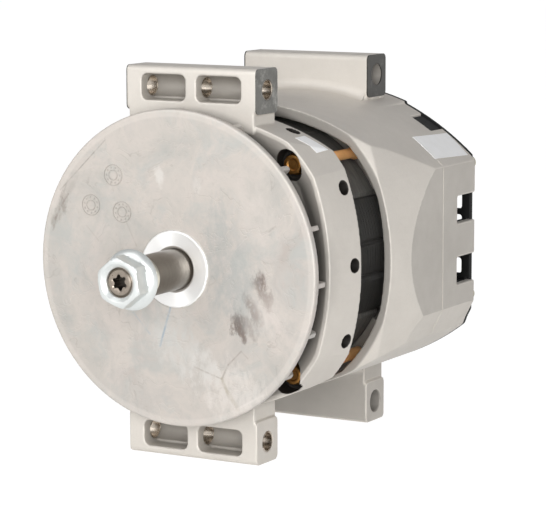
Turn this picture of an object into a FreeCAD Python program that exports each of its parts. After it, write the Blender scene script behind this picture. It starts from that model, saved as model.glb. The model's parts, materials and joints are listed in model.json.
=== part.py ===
import FreeCAD, Part
import math
import os
import Sketcher
from FreeCAD import Placement, Rotation, Vector

# A heavy-duty pad-mount alternator without brushes, in millimetres.
# The shaft lies along Y with the pulley end at minus Y. Z is up. The origin is on the
# shaft axis, in the face of the fan hub that a pulley clamps against.

DOCUMENT = FreeCAD.newDocument("Alternator")
SHEET = DOCUMENT.addObject("Spreadsheet::Sheet", "Sizes")

# Driving dimensions: alias, millimetres (degrees where the note says so), note.
DRIVING_SIZES = [
    ("shaft_radius", 11.1, "pulley seat of the shaft"),
    ("shaft_end_y", -53.8, "front end of the thread"),
    ("nut_back_y", -41.4, "back of the nut flange"),
    ("thread_radius", 7.94, "thread that takes the nut"),
    ("seat_front_y", -33.2, "shoulder behind the thread"),
    ("front_journal_radius", 12.5, "shaft in the front bearing"),
    ("middle_radius", 12.0, "shaft under the rotor"),
    ("rear_journal_radius", 8.5, "shaft in the rear bearing"),
    ("socket_radius", 4.4, "six-lobed socket in the end of the shaft"),
    ("socket_lobe_radius", 1.1, "lobes of the socket"),
    ("socket_depth", 6.0, "six-lobed socket in the end of the shaft"),
    ("nut_flange_radius", 16.2, "flange of the shaft nut"),
    ("nut_flange_length", 2.8, "flange of the shaft nut"),
    ("nut_flats", 24.0, "across the flats of the shaft nut"),
    ("nut_length", 14.0, "whole shaft nut"),
    ("fan_radius", 85.6, "fan disc"),
    ("fan_face_y", 0.8, "front face of the fan disc"),
    ("fan_thickness", 4.0, "fan disc"),
    ("fan_hub_radius", 21.0, "turned boss of the fan"),
    ("fan_hub_back_y", 17.0, "back of the fan hub"),
    ("blade_back_y", 15.0, "back edge of the fan blades"),
    ("blade_thickness", 2.7, "fan blade"),
    ("blade_root_radius", 38.0, "inner end of the fan blades"),
    ("blade_tip_inset", 0.6, "blade tip inside the edge of the disc"),
    ("spacer_radius", 16.0, "collar between fan and front bearing"),
    ("front_bearing_y", 20.0, "front face of the front bearing"),
    ("front_bearing_width", 17.0, "front bearing"),
    ("front_bearing_radius", 31.0, "outer ring of the front bearing"),
    ("rear_bearing_y", 128.0, "front face of the rear bearing"),
    ("rear_bearing_width", 12.0, "rear bearing"),
    ("rear_bearing_radius", 20.0, "outer ring of the rear bearing"),
    ("front_ball_radius", 5.4, "balls of the front bearing"),
    ("rear_ball_radius", 3.4, "balls of the rear bearing"),
    ("ball_clearance", 0.08, "between balls and races"),
    ("bearing_land", 3.5, "ledge that each bearing seats against"),
    ("bulge_radius", 142.0, "bulged sides of both housings"),
    ("ring_front_y", 19.2, "front lip of the front housing"),
    ("ring_back_y", 47.0, "back edge of the front housing"),
    ("ring_front_side", 9.3, "front housing outside the stator, sides, front"),
    ("ring_back_side", 13.7, "front housing outside the stator, sides, back"),
    ("upper_wall", 7.2, "both housings outside the stator, top"),
    ("lower_wall", 4.0, "both housings outside the stator, bottom"),
    ("ring_front_corner_wall", 14.8, "front housing outside the stator, corners, front"),
    ("ring_back_corner_wall", 19.2, "front housing outside the stator, corners, back"),
    ("corner_rise", 1.6, "corner circles above the axis"),
    ("lip_width", 2.6, "front lip of the front housing"),
    ("bowl_depth", 9.0, "hollow behind the fan"),
    ("bowl_inset", 15.0, "bowl edge inside the outline at its floor"),
    ("wall_back_y", 34.0, "back of the front wall"),
    ("front_hub_radius", 37.0, "front bearing hub"),
    ("front_hub_y", 18.2, "front of the front bearing hub"),
    ("front_vents", 14, "vents in the front wall, a number"),
    ("vent_width", 11.0, "vents in the front wall"),
    ("vent_inner_radius", 42.0, "vents in the front wall"),
    ("vent_outer_radius", 62.0, "vents in the front wall"),
    ("lug_half_length", 39.0, "lugs without their pads"),
    ("pad_half_length", 40.5, "lugs over their machined pads"),
    ("hole_height", 95.25, "mounting holes from the axis"),
    ("lug_rim", 11.55, "lugs above the mounting holes"),
    ("pad_below_hole", 12.65, "machined pads below the mounting holes"),
    ("lug_root_depth", 4.2, "lugs inside the edge of the stator"),
    ("lug_corner", 3.0, "rounded long edges of the lugs"),
    ("front_lug_y", 18.1, "front face of the front lugs"),
    ("front_lug_thickness", 23.0, "front lugs"),
    ("rear_lug_y", 145.6, "front face of the rear lugs"),
    ("rear_lug_thickness", 22.8, "rear lugs"),
    ("hole_pitch_y", 127.0, "front mounting holes to rear ones"),
    ("front_hole_y", 30.1, "front mounting holes"),
    ("bushing_radius", 5.7, "bushings in the front lugs"),
    ("bushing_wall", 0.8, "bushings in the front lugs"),
    ("bushing_split", 1.2, "slit of the bushings"),
    ("rear_hole_radius", 6.3, "mounting holes in the rear lugs"),
    ("window_inner", 3.4, "inner end of the lug windows"),
    ("window_outer", 31.0, "outer end of the lug windows"),
    ("window_height", 14.2, "lug windows"),
    ("window_corner", 3.5, "corners of the lug windows"),
    ("bolt_gap", 5.68, "middle of the through bolts outside the stator"),
    ("bolt_radius", 2.8, "shank of the through bolts"),
    ("bolt_collar_radius", 3.8, "collar of the through bolts"),
    ("bolt_head_flats", 10.0, "head of the through bolts"),
    ("bolt_head_length", 5.5, "head of the through bolts"),
    ("bolt_flange_radius", 6.0, "flange under the head of the through bolts"),
    ("bolt_thread_length", 16.0, "through bolts in the rear housing"),
    ("pocket_radius", 8.6, "pockets for the bolt heads"),
    ("pocket_floor_y", 32.0, "floor of the pockets"),
    ("ring_hole_radius", 3.7, "radial holes in the front housing"),
    ("ring_hole_y", 41.0, "radial holes in the front housing"),
    ("stator_radius", 75.0, "stator core"),
    ("stator_bore", 53.6, "stator core"),
    ("stator_land", 3.0, "ledge that each housing holds the stator by"),
    ("stator_front_y", 44.0, "stator core"),
    ("stator_back_y", 108.0, "stator core"),
    ("stator_slots", 36, "slots of the stator, a number"),
    ("slot_width", 4.2, "stator slots"),
    ("stator_yoke", 7.0, "stator core outside its slots"),
    ("liner_thickness", 0.35, "slot insulation"),
    ("winding_overhang", 5.0, "winding beyond the core at each end"),
    ("winding_head_length", 4.0, "end ring of the winding"),
    ("rotor_radius", 53.0, "pole wheels"),
    ("claw_inner_radius", 44.0, "underside of the claws"),
    ("claw_root", 13.5, "half width of a claw at its root"),
    ("claw_tip", 6.0, "half width of a claw at its tip"),
    ("pole_disc_back_y", 58.0, "back of the front pole disc"),
    ("pole_ring_front_y", 94.0, "front of the rear pole ring"),
    ("claw_end_gap", 2.0, "claw tip to the other pole wheel"),
    ("pole_count", 6, "claws of each pole wheel, a number"),
    ("joining_ring_radius", 41.2, "inside of the ring that joins the poles"),
    ("joining_ring_y", 73.0, "ring that joins the poles"),
    ("joining_ring_length", 7.0, "ring that joins the poles"),
    ("core_radius", 18.8, "iron core on the shaft"),
    ("core_back_y", 117.0, "iron core on the shaft"),
    ("air_gap", 0.6, "core to the coil support"),
    ("support_wall", 5.6, "tube of the coil support"),
    ("support_flange_radius", 38.0, "flange of the coil support"),
    ("support_flange_length", 4.5, "flange of the coil support"),
    ("coil_front_y", 62.0, "front of the bobbin"),
    ("coil_back_y", 91.0, "back of the bobbin"),
    ("bobbin_wall", 1.6, "bobbin"),
    ("coil_radius", 39.6, "flanges of the bobbin"),
    ("mouth_y", 78.0, "front lip of the rear housing"),
    ("mouth_side", 15.5, "rear housing outside the stator at its lip, sides"),
    ("mouth_corner_wall", 17.6, "rear housing outside the stator at its lip, corners"),
    ("mouth_wall", 4.5, "wall of the rear housing at its mouth"),
    ("mouth_floor_y", 103.0, "front of the bosses that hold the stator"),
    ("mouth_recess_y", 116.0, "floor of the mouth between the bosses"),
    ("flare", 0.285, "growth of the rear housing per length, a ratio"),
    ("corner_flare", 1.0, "growth of its corners behind the lip per length, a ratio"),
    ("side_bulge_radius", 126.0, "bulged sides of the rear housing"),
    ("rear_upper_wall", 9.0, "rear housing outside the stator at its lip, top"),
    ("crown_half_width", 50.0, "crown between the upper facets"),
    ("facet_radius", 165.0, "curved upper facets"),
    ("facet_offset_x", 18.4, "middle of the upper facets beyond the axis"),
    ("facet_drop", 6.45, "upper ends of the facets below the rear top"),
    ("rim_y", 175.0, "rear rim of the rear housing"),
    ("rim_width", 95.0, "flat sides of the rear housing"),
    ("rim_rise", 3.8, "top of the rear housing, rim above lip"),
    ("side_flat_bottom", -34.0, "lower end of the flat sides"),
    ("corner_facet_width", 5.0, "facets below the flat sides, across"),
    ("corner_facet_height", 9.5, "facets below the flat sides, up"),
    ("rear_wall_y", 124.0, "front of the rear bearing wall"),
    ("rear_wall_thickness", 6.0, "rear bearing wall"),
    ("chamber_wall", 5.0, "wall round the rectifier chamber"),
    ("rear_hub_radius", 26.0, "rear bearing hub"),
    ("rear_vents", 12, "vents in the rear bearing wall, a number"),
    ("rear_vent_inner_radius", 42.0, "vents in the rear bearing wall"),
    ("rear_vent_outer_radius", 69.0, "vents in the rear bearing wall"),
    ("notch_depth", 23.0, "side notches in the rear rim"),
    ("notch_height", 15.6, "side notches"),
    ("upper_notch_z", 13.0, "lower edge of the upper side notch"),
    ("lower_notch_z", -21.9, "lower edge of the lower side notch"),
    ("top_notch_x", 60.5, "inner edge of the top notch"),
    ("top_notch_width", 13.0, "top notch"),
    ("top_notch_height", 34.0, "top notch below the crown"),
    ("top_notch_depth", 15.0, "top notch"),
    ("cover_gap", 0.5, "cover inside the chamber wall"),
    ("cover_wall", 2.5, "skirt of the rear cover"),
    ("cover_skirt_length", 16.0, "skirt of the rear cover in the chamber"),
    ("cover_plate", 3.0, "plate of the rear cover behind the rim"),
    ("cover_side_inset", 2.8, "plate of the cover inside the flat sides"),
    ("cover_tab_inset", 0.8, "tabs of the cover inside the housing's surface"),
    ("heat_sink_y", 136.0, "front of the earthed heat sink"),
    ("heat_sink_thickness", 5.0, "heat sinks"),
    ("heat_sink_step", 13.0, "earthed heat sink to insulated one"),
    ("heat_sink_inner", 34.0, "heat sinks"),
    ("heat_sink_outer", 68.0, "heat sinks"),
    ("heat_sink_bottom", 5.0, "lower ends of the heat sinks"),
    ("diode_radius", 6.4, "diodes"),
    ("stud_radius", 4.0, "output and earth studs"),
    ("stud_reach", 14.0, "output and earth studs behind the cover"),
    ("stud_collar", 3.5, "wall of the insulators round the studs"),
    ("output_stud_x", -50.2, "output stud"),
    ("output_stud_z", 11.0, "output stud"),
    ("earth_stud_x", 52.0, "earth stud"),
    ("earth_stud_z", -24.0, "earth stud"),
    ("relay_stud_x", -12.0, "relay stud"),
    ("relay_stud_z", -52.0, "relay stud"),
    ("relay_stud_radius", 2.5, "relay stud"),
    ("relay_stud_reach", 10.0, "relay stud behind the cover"),
    ("retainer_screws", 4, "screws of the bearing retainer, a number"),
    ("retainer_screw_radius", 1.6, "screws of the bearing retainer"),
    ("retainer_screw_grip", 9.0, "screws of the bearing retainer in the hub"),
    ("retainer_thickness", 2.2, "bearing retainer"),
    ("support_screws", 3, "screws of the coil support, a number"),
    ("support_screw_radius", 2.5, "screws of the coil support"),
    ("sink_post_radius", 5.0, "posts under the heat sinks"),
    ("sink_screw_radius", 2.0, "screws of the heat sinks"),
    ("diode_length", 7.5, "diodes"),
    ("cover_post_inset", 6.0, "posts for the cover screws inside the flat sides"),
    ("upper_cover_post_z", 45.0, "posts for the cover screws"),
    ("lower_cover_post_z", -31.0, "posts for the cover screws"),
    ("cover_post_radius", 5.5, "posts for the cover screws"),
    ("cover_screw_radius", 2.0, "cover screws"),
    ("cover_screw_grip", 10.0, "cover screws in their posts"),
    ("cover_slot_rows", 6, "rows of slots in the cover, a number"),
    ("cover_slot_bottom", 22.0, "lowest slot of the cover"),
    ("cover_slot_pitch", 7.5, "from slot to slot of the cover"),
    ("cover_slot_height", 4.0, "slots of the cover"),
    ("cover_slot_inner", 10.0, "inner end of the cover slots"),
    ("cover_slot_outer", 38.0, "outer end of the cover slots"),
    ("cover_side_slot_inset", 8.6, "upright slots of the cover inside the flat sides"),
    ("cover_side_slot_width", 7.0, "upright slots of the cover"),
    ("cover_side_slot_height", 9.0, "upright slots of the cover"),
    ("cover_side_slot_pitch", 12.5, "upright slots of the cover"),
    ("cover_side_slot_bottom", -18.95, "lowest upright slot of the cover"),
    ("cover_side_slots", 4, "upright slots on each side of the cover, a number"),
    ("slot_corner", 1.5, "corners of the upright slots"),
    ("regulator_half_width", 30.0, "foot of the regulator"),
    ("regulator_bottom", -66.0, "foot of the regulator"),
    ("regulator_top", -38.0, "foot of the regulator"),
    ("regulator_length", 20.0, "whole regulator"),
    ("regulator_foot", 12.0, "foot of the regulator"),
    ("regulator_screw_x", 25.0, "regulator screws"),
    ("regulator_screw_radius", 2.0, "regulator screws"),
]

# Uneven steps from blade to blade in degrees, and other patterns round the shaft.
BLADE_STEPS = [24, 20.5, 19, 18.5, 22, 20, 24, 19.5, 18.5, 21.5, 24, 20, 19, 18.5, 22, 24.5, 24.5]
FIRST_BLADE = 42.0
BOLT_ANGLE = 44.55
NUT_TURN = 39.0
BOSS_HALF_ANGLE = 16.0
RING_HOLE_ANGLES = [55.5, 28.6, 2.0, -25.0, 124.5, 151.4, 178.0, 205.0]
HEAT_SINK_POSTS = [30.0, 90.0, 150.0]
DIODE_ANGLES = [44.0, 60.0, 76.0, 104.0, 120.0, 136.0]
BEARING_BALLS = 7

# How far a cutting tool reaches past the face that it cuts.
LIP = 1.0
# Gap round a piece that fits loosely in another.
FITTED_CLEARANCE = 0.3
# Gap round a bolt in its clearance hole.
HOLE_CLEARANCE = 0.2
# Shares of the ball radius in a bearing: ring shoulders, and the cage's half thickness and length.
RACE_SHOULDER = 0.62
CAGE_HALF_BAND = 0.3
CAGE_HALF_LENGTH = 1.15


class Size:
    """A length worked out from the sheet: its number, and the expression that gives it."""

    def __init__(self, number, text):
        self.number = number
        self.text = text

    def __add__(self, other):
        other = as_size(other)
        return Size(self.number + other.number, "(%s + %s)" % (self.text, other.text))

    def __radd__(self, other):
        return as_size(other) + self

    def __sub__(self, other):
        other = as_size(other)
        return Size(self.number - other.number, "(%s - %s)" % (self.text, other.text))

    def __rsub__(self, other):
        return as_size(other) - self

    def __mul__(self, other):
        other = as_size(other)
        return Size(self.number * other.number, "(%s * %s)" % (self.text, other.text))

    def __rmul__(self, other):
        return self * other

    def __truediv__(self, other):
        other = as_size(other)
        return Size(self.number / other.number, "(%s / %s)" % (self.text, other.text))

    def __neg__(self):
        return 0 - self


def as_size(value):
    if isinstance(value, Size):
        return value
    return Size(float(value), "(%.6f)" % value)


def root(value):
    """The square root of a size."""
    return Size(math.sqrt(value.number), "sqrt(%s)" % value.text)


def fill_sheet():
    """Write the driving dimensions to the sheet and return them by name."""
    sizes = {}
    for row, (alias, value, note) in enumerate(DRIVING_SIZES, start=1):
        SHEET.set("A%d" % row, note)
        SHEET.set("B%d" % row, str(value))
        SHEET.setAlias("B%d" % row, alias)
        sizes[alias] = Size(float(value), "Sizes." + alias)
    DOCUMENT.recompute()
    return sizes


def add_derived(sizes):
    """The sizes that follow others: the housings keep their walls outside the stator."""
    stator = sizes["stator_radius"]
    for name, wall in (("ring_front_width", "ring_front_side"), ("ring_back_width", "ring_back_side"),
                       ("housing_top", "upper_wall"), ("housing_bottom", "lower_wall"),
                       ("ring_front_corner", "ring_front_corner_wall"),
                       ("ring_back_corner", "ring_back_corner_wall"),
                       ("mouth_width", "mouth_side"), ("mouth_corner", "mouth_corner_wall")):
        sizes[name] = stator + sizes[wall]
    sizes["rear_top"] = stator + sizes["rear_upper_wall"]
    sizes["rim_top"] = sizes["rear_top"] + sizes["rim_rise"]
    facet_reach = sizes["crown_half_width"] + sizes["facet_offset_x"]
    facet_height = root(sizes["facet_radius"] * sizes["facet_radius"] - facet_reach * facet_reach)
    sizes["facet_middle_z"] = sizes["rear_top"] - sizes["facet_drop"] - facet_height
    sizes["slot_bottom_radius"] = stator - sizes["stator_yoke"]
    bolt_circle = stator + sizes["bolt_gap"]
    sizes["bolt_x"] = bolt_circle * math.cos(math.radians(BOLT_ANGLE))
    sizes["bolt_z"] = bolt_circle * math.sin(math.radians(BOLT_ANGLE))
    sizes["lug_height"] = sizes["hole_height"] + sizes["lug_rim"]
    sizes["pad_inner_height"] = sizes["hole_height"] - sizes["pad_below_hole"]
    sizes["cover_post_x"] = sizes["rim_width"] - sizes["cover_post_inset"]
    sizes["cover_skirt_y"] = sizes["rim_y"] - sizes["cover_skirt_length"]
    sizes["cover_back_y"] = sizes["rim_y"] + sizes["cover_plate"]
    sizes["stud_end_y"] = sizes["cover_back_y"] + sizes["stud_reach"]
    sizes["relay_stud_end_y"] = sizes["cover_back_y"] + sizes["relay_stud_reach"]
    return sizes


S = add_derived(fill_sheet())
ALONG_Y = Rotation(Vector(1, 0, 0), -90)
ALONG_X = Rotation(Vector(0, 1, 0), 90)
NODES = []


def keep(item, label):
    """Name a finished sub-part. The name is its file's name too."""
    item.Label = label
    NODES.append(item)
    return item


def seat(item, x=0, y=0, z=0, rotation=None):
    """Place an item, with each coordinate tied to the sheet."""
    places = [as_size(value) for value in (x, y, z)]
    base = Vector(*[place.number for place in places])
    item.Placement = Placement(base, rotation or Rotation())
    for axis, place in zip("xyz", places):
        item.setExpression(".Placement.Base." + axis, place.text)
    return item


def tie(item, **properties):
    for name, value in properties.items():
        item.setExpression(name, as_size(value).text)
    return item


def box(name, x, y, z):
    """A block between two places on each axis."""
    item = DOCUMENT.addObject("Part::Box", name)
    spans = [(as_size(low), as_size(high)) for low, high in (x, y, z)]
    lengths = [high - low for low, high in spans]
    tie(item, Length=lengths[0], Width=lengths[1], Height=lengths[2])
    return seat(item, spans[0][0], spans[1][0], spans[2][0])


def rod(name, radius, y, x=0, z=0):
    """A round bar along Y between two places."""
    item = DOCUMENT.addObject("Part::Cylinder", name)
    tie(item, Radius=radius, Height=as_size(y[1]) - y[0])
    return seat(item, x, y[0], z, ALONG_Y)


def rod_across(name, radius, x, y, z):
    """A round bar along X between two places."""
    item = DOCUMENT.addObject("Part::Cylinder", name)
    tie(item, Radius=radius, Height=as_size(x[1]) - x[0])
    return seat(item, x[0], y, z, ALONG_X)


def taper(name, front_radius, back_radius, y, x=0, z=0):
    """A round bar along Y whose radius changes evenly."""
    front_radius = as_size(front_radius)
    back_radius = as_size(back_radius)
    if abs(front_radius.number - back_radius.number) < 1e-6:
        return rod(name, front_radius, y, x, z)
    item = DOCUMENT.addObject("Part::Cone", name)
    tie(item, Radius1=front_radius, Radius2=back_radius, Height=as_size(y[1]) - y[0])
    return seat(item, x, y[0], z, ALONG_Y)


def hexagon(name, flats, y, x=0, z=0):
    """A hexagonal bar along Y between two places."""
    item = DOCUMENT.addObject("Part::Prism", name)
    item.Polygon = 6
    tie(item, Circumradius=as_size(flats) / math.sqrt(3), Height=as_size(y[1]) - y[0])
    return seat(item, x, y[0], z, ALONG_Y)


def fuse(name, shapes):
    item = DOCUMENT.addObject("Part::MultiFuse", name)
    item.Shapes = shapes
    return item


def common(name, shapes):
    item = DOCUMENT.addObject("Part::MultiCommon", name)
    item.Shapes = shapes
    return item


def group(name, shapes):
    item = DOCUMENT.addObject("Part::Compound", name)
    item.Links = shapes
    return item


def cut(name, base, tools):
    item = DOCUMENT.addObject("Part::Cut", name)
    item.Base = base
    item.Tool = tools[0] if len(tools) == 1 else fuse(name + "Tools", tools)
    return item


def origin_plane(body, role):
    for feature in body.Origin.OriginFeatures:
        if feature.Role == role:
            return feature
    raise ValueError("no plane " + role)


def new_body(name):
    body = DOCUMENT.addObject("PartDesign::Body", name)
    return body


def new_sketch(body, role, name, offset=None):
    """A sketch on an origin plane of its own body, moved along the plane's normal."""
    sketch = body.newObject("Sketcher::SketchObject", name)
    sketch.AttachmentSupport = [(origin_plane(body, role), "")]
    sketch.MapMode = "FlatFace"
    if offset is not None:
        sketch.AttachmentOffset = Placement(Vector(0, 0, offset.number), Rotation())
        sketch.setExpression(".AttachmentOffset.Base.z", offset.text)
    return sketch


def draw_outline(sketch, points):
    """A closed outline of straight lines, with each corner tied to the sheet."""
    first = sketch.GeometryCount
    points = [(as_size(across), as_size(up)) for across, up in points]
    count = len(points)
    for index, (across, up) in enumerate(points):
        next_across, next_up = points[(index + 1) % count]
        start = Vector(across.number, up.number, 0)
        end = Vector(next_across.number, next_up.number, 0)
        sketch.addGeometry(Part.LineSegment(start, end), False)
    for index in range(count):
        following = first + (index + 1) % count
        sketch.addConstraint(Sketcher.Constraint("Coincident", first + index, 2, following, 1))
    for index, point in enumerate(points):
        for kind, place in zip(("DistanceX", "DistanceY"), point):
            constraint = Sketcher.Constraint(kind, first + index, 1, place.number)
            number = sketch.addConstraint(constraint)
            sketch.setExpression("Constraints[%d]" % number, place.text)


def turned(name, *outlines):
    """A turned piece: outlines of (place along the shaft, radius) turned about the shaft."""
    body = new_body(name)
    sketch = new_sketch(body, "YZ_Plane", name + "Profile")
    for points in outlines:
        draw_outline(sketch, points)
    turn = body.newObject("PartDesign::Revolution", name + "Turn")
    turn.Profile = sketch
    turn.ReferenceAxis = (sketch, ["H_Axis"])
    turn.Angle = 360
    body.Tip = turn
    return body


def padded(name, y, points):
    """A plate across the shaft between two places along it, from an outline in X and Z."""
    body = new_body(name)
    front = as_size(y[0])
    sketch = new_sketch(body, "XZ_Plane", name + "Outline", -front)
    draw_outline(sketch, points)
    pad = body.newObject("PartDesign::Pad", name + "Pad")
    pad.Profile = sketch
    pad.Reversed = True
    tie(pad, Length=as_size(y[1]) - front)
    body.Tip = pad
    return body


def round_shaft(name, item, angles):
    """Copies of an item turned about the shaft, at angles in degrees from plus X towards plus Z."""
    copies = []
    for angle in angles:
        copy = DOCUMENT.addObject("Part::Compound", name + "Copy")
        copy.Links = [item]
        copy.Placement = Placement(Vector(), Rotation(Vector(0, 1, 0), -angle))
        copies.append(copy)
    return group(name, copies)


def even_angles(count, first=0.0):
    return [first + 360.0 * index / count for index in range(count)]


def ring(name, inner, outer, y):
    return turned(name, [(y[0], inner), (y[1], inner), (y[1], outer), (y[0], outer)])


def bulged(name, y, width, top, bottom, corner, side_bulge=None):
    """A block with four bulged sides and cut corners. Each size is a pair, front and back."""
    bulge = S["bulge_radius"]
    side_bulge = side_bulge or bulge
    shapes = []
    for side in (1, -1):
        offset = as_size(width[0]) - side_bulge
        grown = side_bulge + width[1] - width[0]
        shapes.append(taper("%sSide%d" % (name, len(shapes)), side_bulge, grown, y, x=side * offset))
    for side, height in ((1, top), (-1, bottom)):
        offset = as_size(height[0]) - bulge
        grown = bulge + height[1] - height[0]
        shapes.append(taper("%sSide%d" % (name, len(shapes)), bulge, grown, y, z=side * offset))
    shapes.append(taper(name + "Corners", corner[0], corner[1], y, z=S["corner_rise"]))
    return common(name, shapes)


def mirrored_pairs(x, z):
    """The four places at plus and minus x and z."""
    return [(side * x, level * z) for side in (1, -1) for level in (1, -1)]


def polar_place(radius, angle):
    """The X and Z of a point at a radius from the shaft."""
    turn = math.radians(angle)
    return radius * math.cos(turn), radius * math.sin(turn)


def make_shaft():
    """Stepped shaft: thread, pulley seat, front journal, collar, rotor seat, rear journal."""
    thread = S["thread_radius"]
    seat_front = S["seat_front_y"]
    journal_back = S["front_bearing_y"] + S["front_bearing_width"]
    thread_chamfer = 1.2
    seat_chamfer = 1.7
    rotor_clearance = 3
    collar = S["front_journal_radius"] + 2.5
    rear_shoulder = S["rear_journal_radius"] + 1.8
    rear_end = S["rear_bearing_y"] + S["rear_bearing_width"] + 1.5
    profile = turned("ShaftBody", [
        (S["shaft_end_y"], 0),
        (S["shaft_end_y"], thread - thread_chamfer),
        (S["shaft_end_y"] + thread_chamfer, thread),
        (seat_front, thread),
        (seat_front, S["shaft_radius"] - seat_chamfer),
        (seat_front + seat_chamfer, S["shaft_radius"]),
        (S["front_bearing_y"], S["shaft_radius"]),
        (S["front_bearing_y"], S["front_journal_radius"]),
        (journal_back, S["front_journal_radius"]),
        (journal_back, collar),
        (S["stator_front_y"], collar),
        (S["stator_front_y"], S["middle_radius"]),
        (S["core_back_y"] + rotor_clearance, S["middle_radius"]),
        (S["core_back_y"] + rotor_clearance, rear_shoulder),
        (S["rear_bearing_y"], rear_shoulder),
        (S["rear_bearing_y"], S["rear_journal_radius"]),
        (rear_end, S["rear_journal_radius"]),
        (rear_end, 0),
    ])
    socket_y = (S["shaft_end_y"] - LIP, S["shaft_end_y"] + S["socket_depth"])
    lobe = S["socket_lobe_radius"]
    reach = S["socket_radius"] - lobe
    lobes = round_shaft("SocketLobes", rod("SocketLobe", lobe, socket_y, reach), even_angles(6, NUT_TURN))
    keep(cut("Shaft", profile, [rod("SocketMiddle", reach, socket_y), lobes]), "shaft")


def make_shaft_nut():
    back = S["nut_back_y"]
    front = back - S["nut_length"]
    flange_front = back - S["nut_flange_length"]
    corner = S["nut_flats"] / math.sqrt(3)
    edge = 0.5
    flange_slope = 2.2
    corner_chamfer = 1.4
    countersink = 1.6
    flange = turned("NutFlange", [
        (back, S["thread_radius"]),
        (back, S["nut_flange_radius"] - edge),
        (back - edge, S["nut_flange_radius"]),
        (flange_front + edge, S["nut_flange_radius"]),
        (flange_front + edge - flange_slope, S["nut_flats"] / 2),
        (flange_front + edge - flange_slope, S["thread_radius"]),
    ])
    chamfer = turned("NutEnvelope", [
        (back, 0),
        (back, corner),
        (front + corner_chamfer, corner),
        (front, S["nut_flats"] / 2),
        (front, 0),
    ])
    blank = hexagon("NutBlank", S["nut_flats"], (front, back - edge))
    turned_blank = round_shaft("NutTurned", blank, [NUT_TURN])
    hexagonal = common("NutHexagon", [turned_blank, chamfer])
    bore = rod("NutBore", S["thread_radius"], (front - LIP, back + LIP))
    mouth = taper("NutMouth", S["thread_radius"] + countersink, S["thread_radius"],
                  (front, front + countersink))
    keep(cut("ShaftNut", fuse("NutWhole", [hexagonal, flange]), [bore, mouth]), "shaft_nut")


def make_fan():
    """The outside fan: a disc with a turned boss, and radial blades at uneven steps."""
    face = S["fan_face_y"]
    disc_back = face + S["fan_thickness"]
    boss = S["fan_hub_radius"]
    rim = 0.8
    boss_edge = 0.6
    bore_chamfer = 1.4
    hub_slope = 4
    hub_back_draft = 3
    disc = turned("FanDisc", [
        (bore_chamfer, S["shaft_radius"]),
        (0, S["shaft_radius"] + bore_chamfer),
        (0, boss - boss_edge),
        (boss_edge, boss),
        (face, boss),
        (face, S["fan_radius"] - rim),
        (face + rim, S["fan_radius"]),
        (disc_back, S["fan_radius"]),
        (disc_back, boss + hub_slope),
        (disc_back + hub_slope, boss),
        (S["fan_hub_back_y"], boss - hub_back_draft),
        (S["fan_hub_back_y"], S["shaft_radius"]),
    ])
    tip = S["fan_radius"] - S["blade_tip_inset"]
    tip_chamfer = 2
    root_slope = 9
    envelope = turned("BladeEnvelope", [
        (disc_back, S["blade_root_radius"]),
        (disc_back, tip),
        (S["blade_back_y"] - tip_chamfer, tip),
        (S["blade_back_y"], tip - tip_chamfer),
        (S["blade_back_y"], S["blade_root_radius"] + root_slope),
    ])
    half = S["blade_thickness"] / 2
    blade = box("Blade", (S["blade_root_radius"] - LIP, S["fan_radius"]),
                (disc_back, S["blade_back_y"] + LIP), (-half, half))
    angles = [FIRST_BLADE]
    for step in BLADE_STEPS[:-1]:
        angles.append(angles[-1] - step)
    blades = common("Blades", [round_shaft("BladeRing", blade, angles), envelope])
    keep(fuse("Fan", [disc, blades]), "fan")


def make_fan_spacer():
    spacer = ring("FanSpacer", S["shaft_radius"], S["spacer_radius"],
                  (S["fan_hub_back_y"], S["front_bearing_y"]))
    keep(spacer, "fan_spacer")


def make_bearing(end, journal, outer, front, width, ball):
    """A sealed ball bearing: two rings with grooves, balls, cage and seals."""
    back = front + width
    pitch = (journal + outer) / 2
    wall = ball * RACE_SHOULDER
    middle = front + width / 2
    title = end.capitalize() + "Bearing"
    groove = DOCUMENT.addObject("Part::Torus", title + "Groove")
    tie(groove, Radius1=pitch, Radius2=ball + S["ball_clearance"])
    seat(groove, y=middle, rotation=ALONG_Y)
    inner = ring(title + "InnerBlank", journal, pitch - wall, (front, back))
    outer_ring = ring(title + "OuterBlank", pitch + wall, outer, (front, back))
    keep(cut(title + "Inner", inner, [groove]), end + "_bearing_inner")
    keep(cut(title + "Outer", outer_ring, [groove]), end + "_bearing_outer")
    sphere = DOCUMENT.addObject("Part::Sphere", title + "Ball")
    tie(sphere, Radius=ball)
    seat(sphere, x=pitch, y=middle)
    angles = even_angles(BEARING_BALLS, 90.0)
    keep(round_shaft(title + "Balls", sphere, angles), end + "_bearing_balls")
    half_band = ball * CAGE_HALF_BAND
    half_length = ball * CAGE_HALF_LENGTH
    pocket = rod_across(title + "Pocket", ball + S["ball_clearance"] * 2,
                        (pitch - half_band - LIP, pitch + half_band + LIP), middle, 0)
    band = ring(title + "Band", pitch - half_band, pitch + half_band,
                (middle - half_length, middle + half_length))
    pockets = round_shaft(title + "Pockets", pocket, angles)
    keep(cut(title + "Cage", band, [pockets]), end + "_bearing_cage")
    seal_inner = pitch - wall + FITTED_CLEARANCE
    seal_outer = pitch + wall
    recess = 0.3
    seal = 0.8
    seals = [ring(title + "FrontSeal", seal_inner, seal_outer,
                  (front + recess, front + recess + seal)),
             ring(title + "BackSeal", seal_inner, seal_outer,
                  (back - recess - seal, back - recess))]
    keep(group(title + "Seals", seals), end + "_bearing_seals")


def make_bearings():
    make_bearing("front", S["front_journal_radius"], S["front_bearing_radius"],
                 S["front_bearing_y"], S["front_bearing_width"], S["front_ball_radius"])
    make_bearing("rear", S["rear_journal_radius"], S["rear_bearing_radius"],
                 S["rear_bearing_y"], S["rear_bearing_width"], S["rear_ball_radius"])


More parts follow.
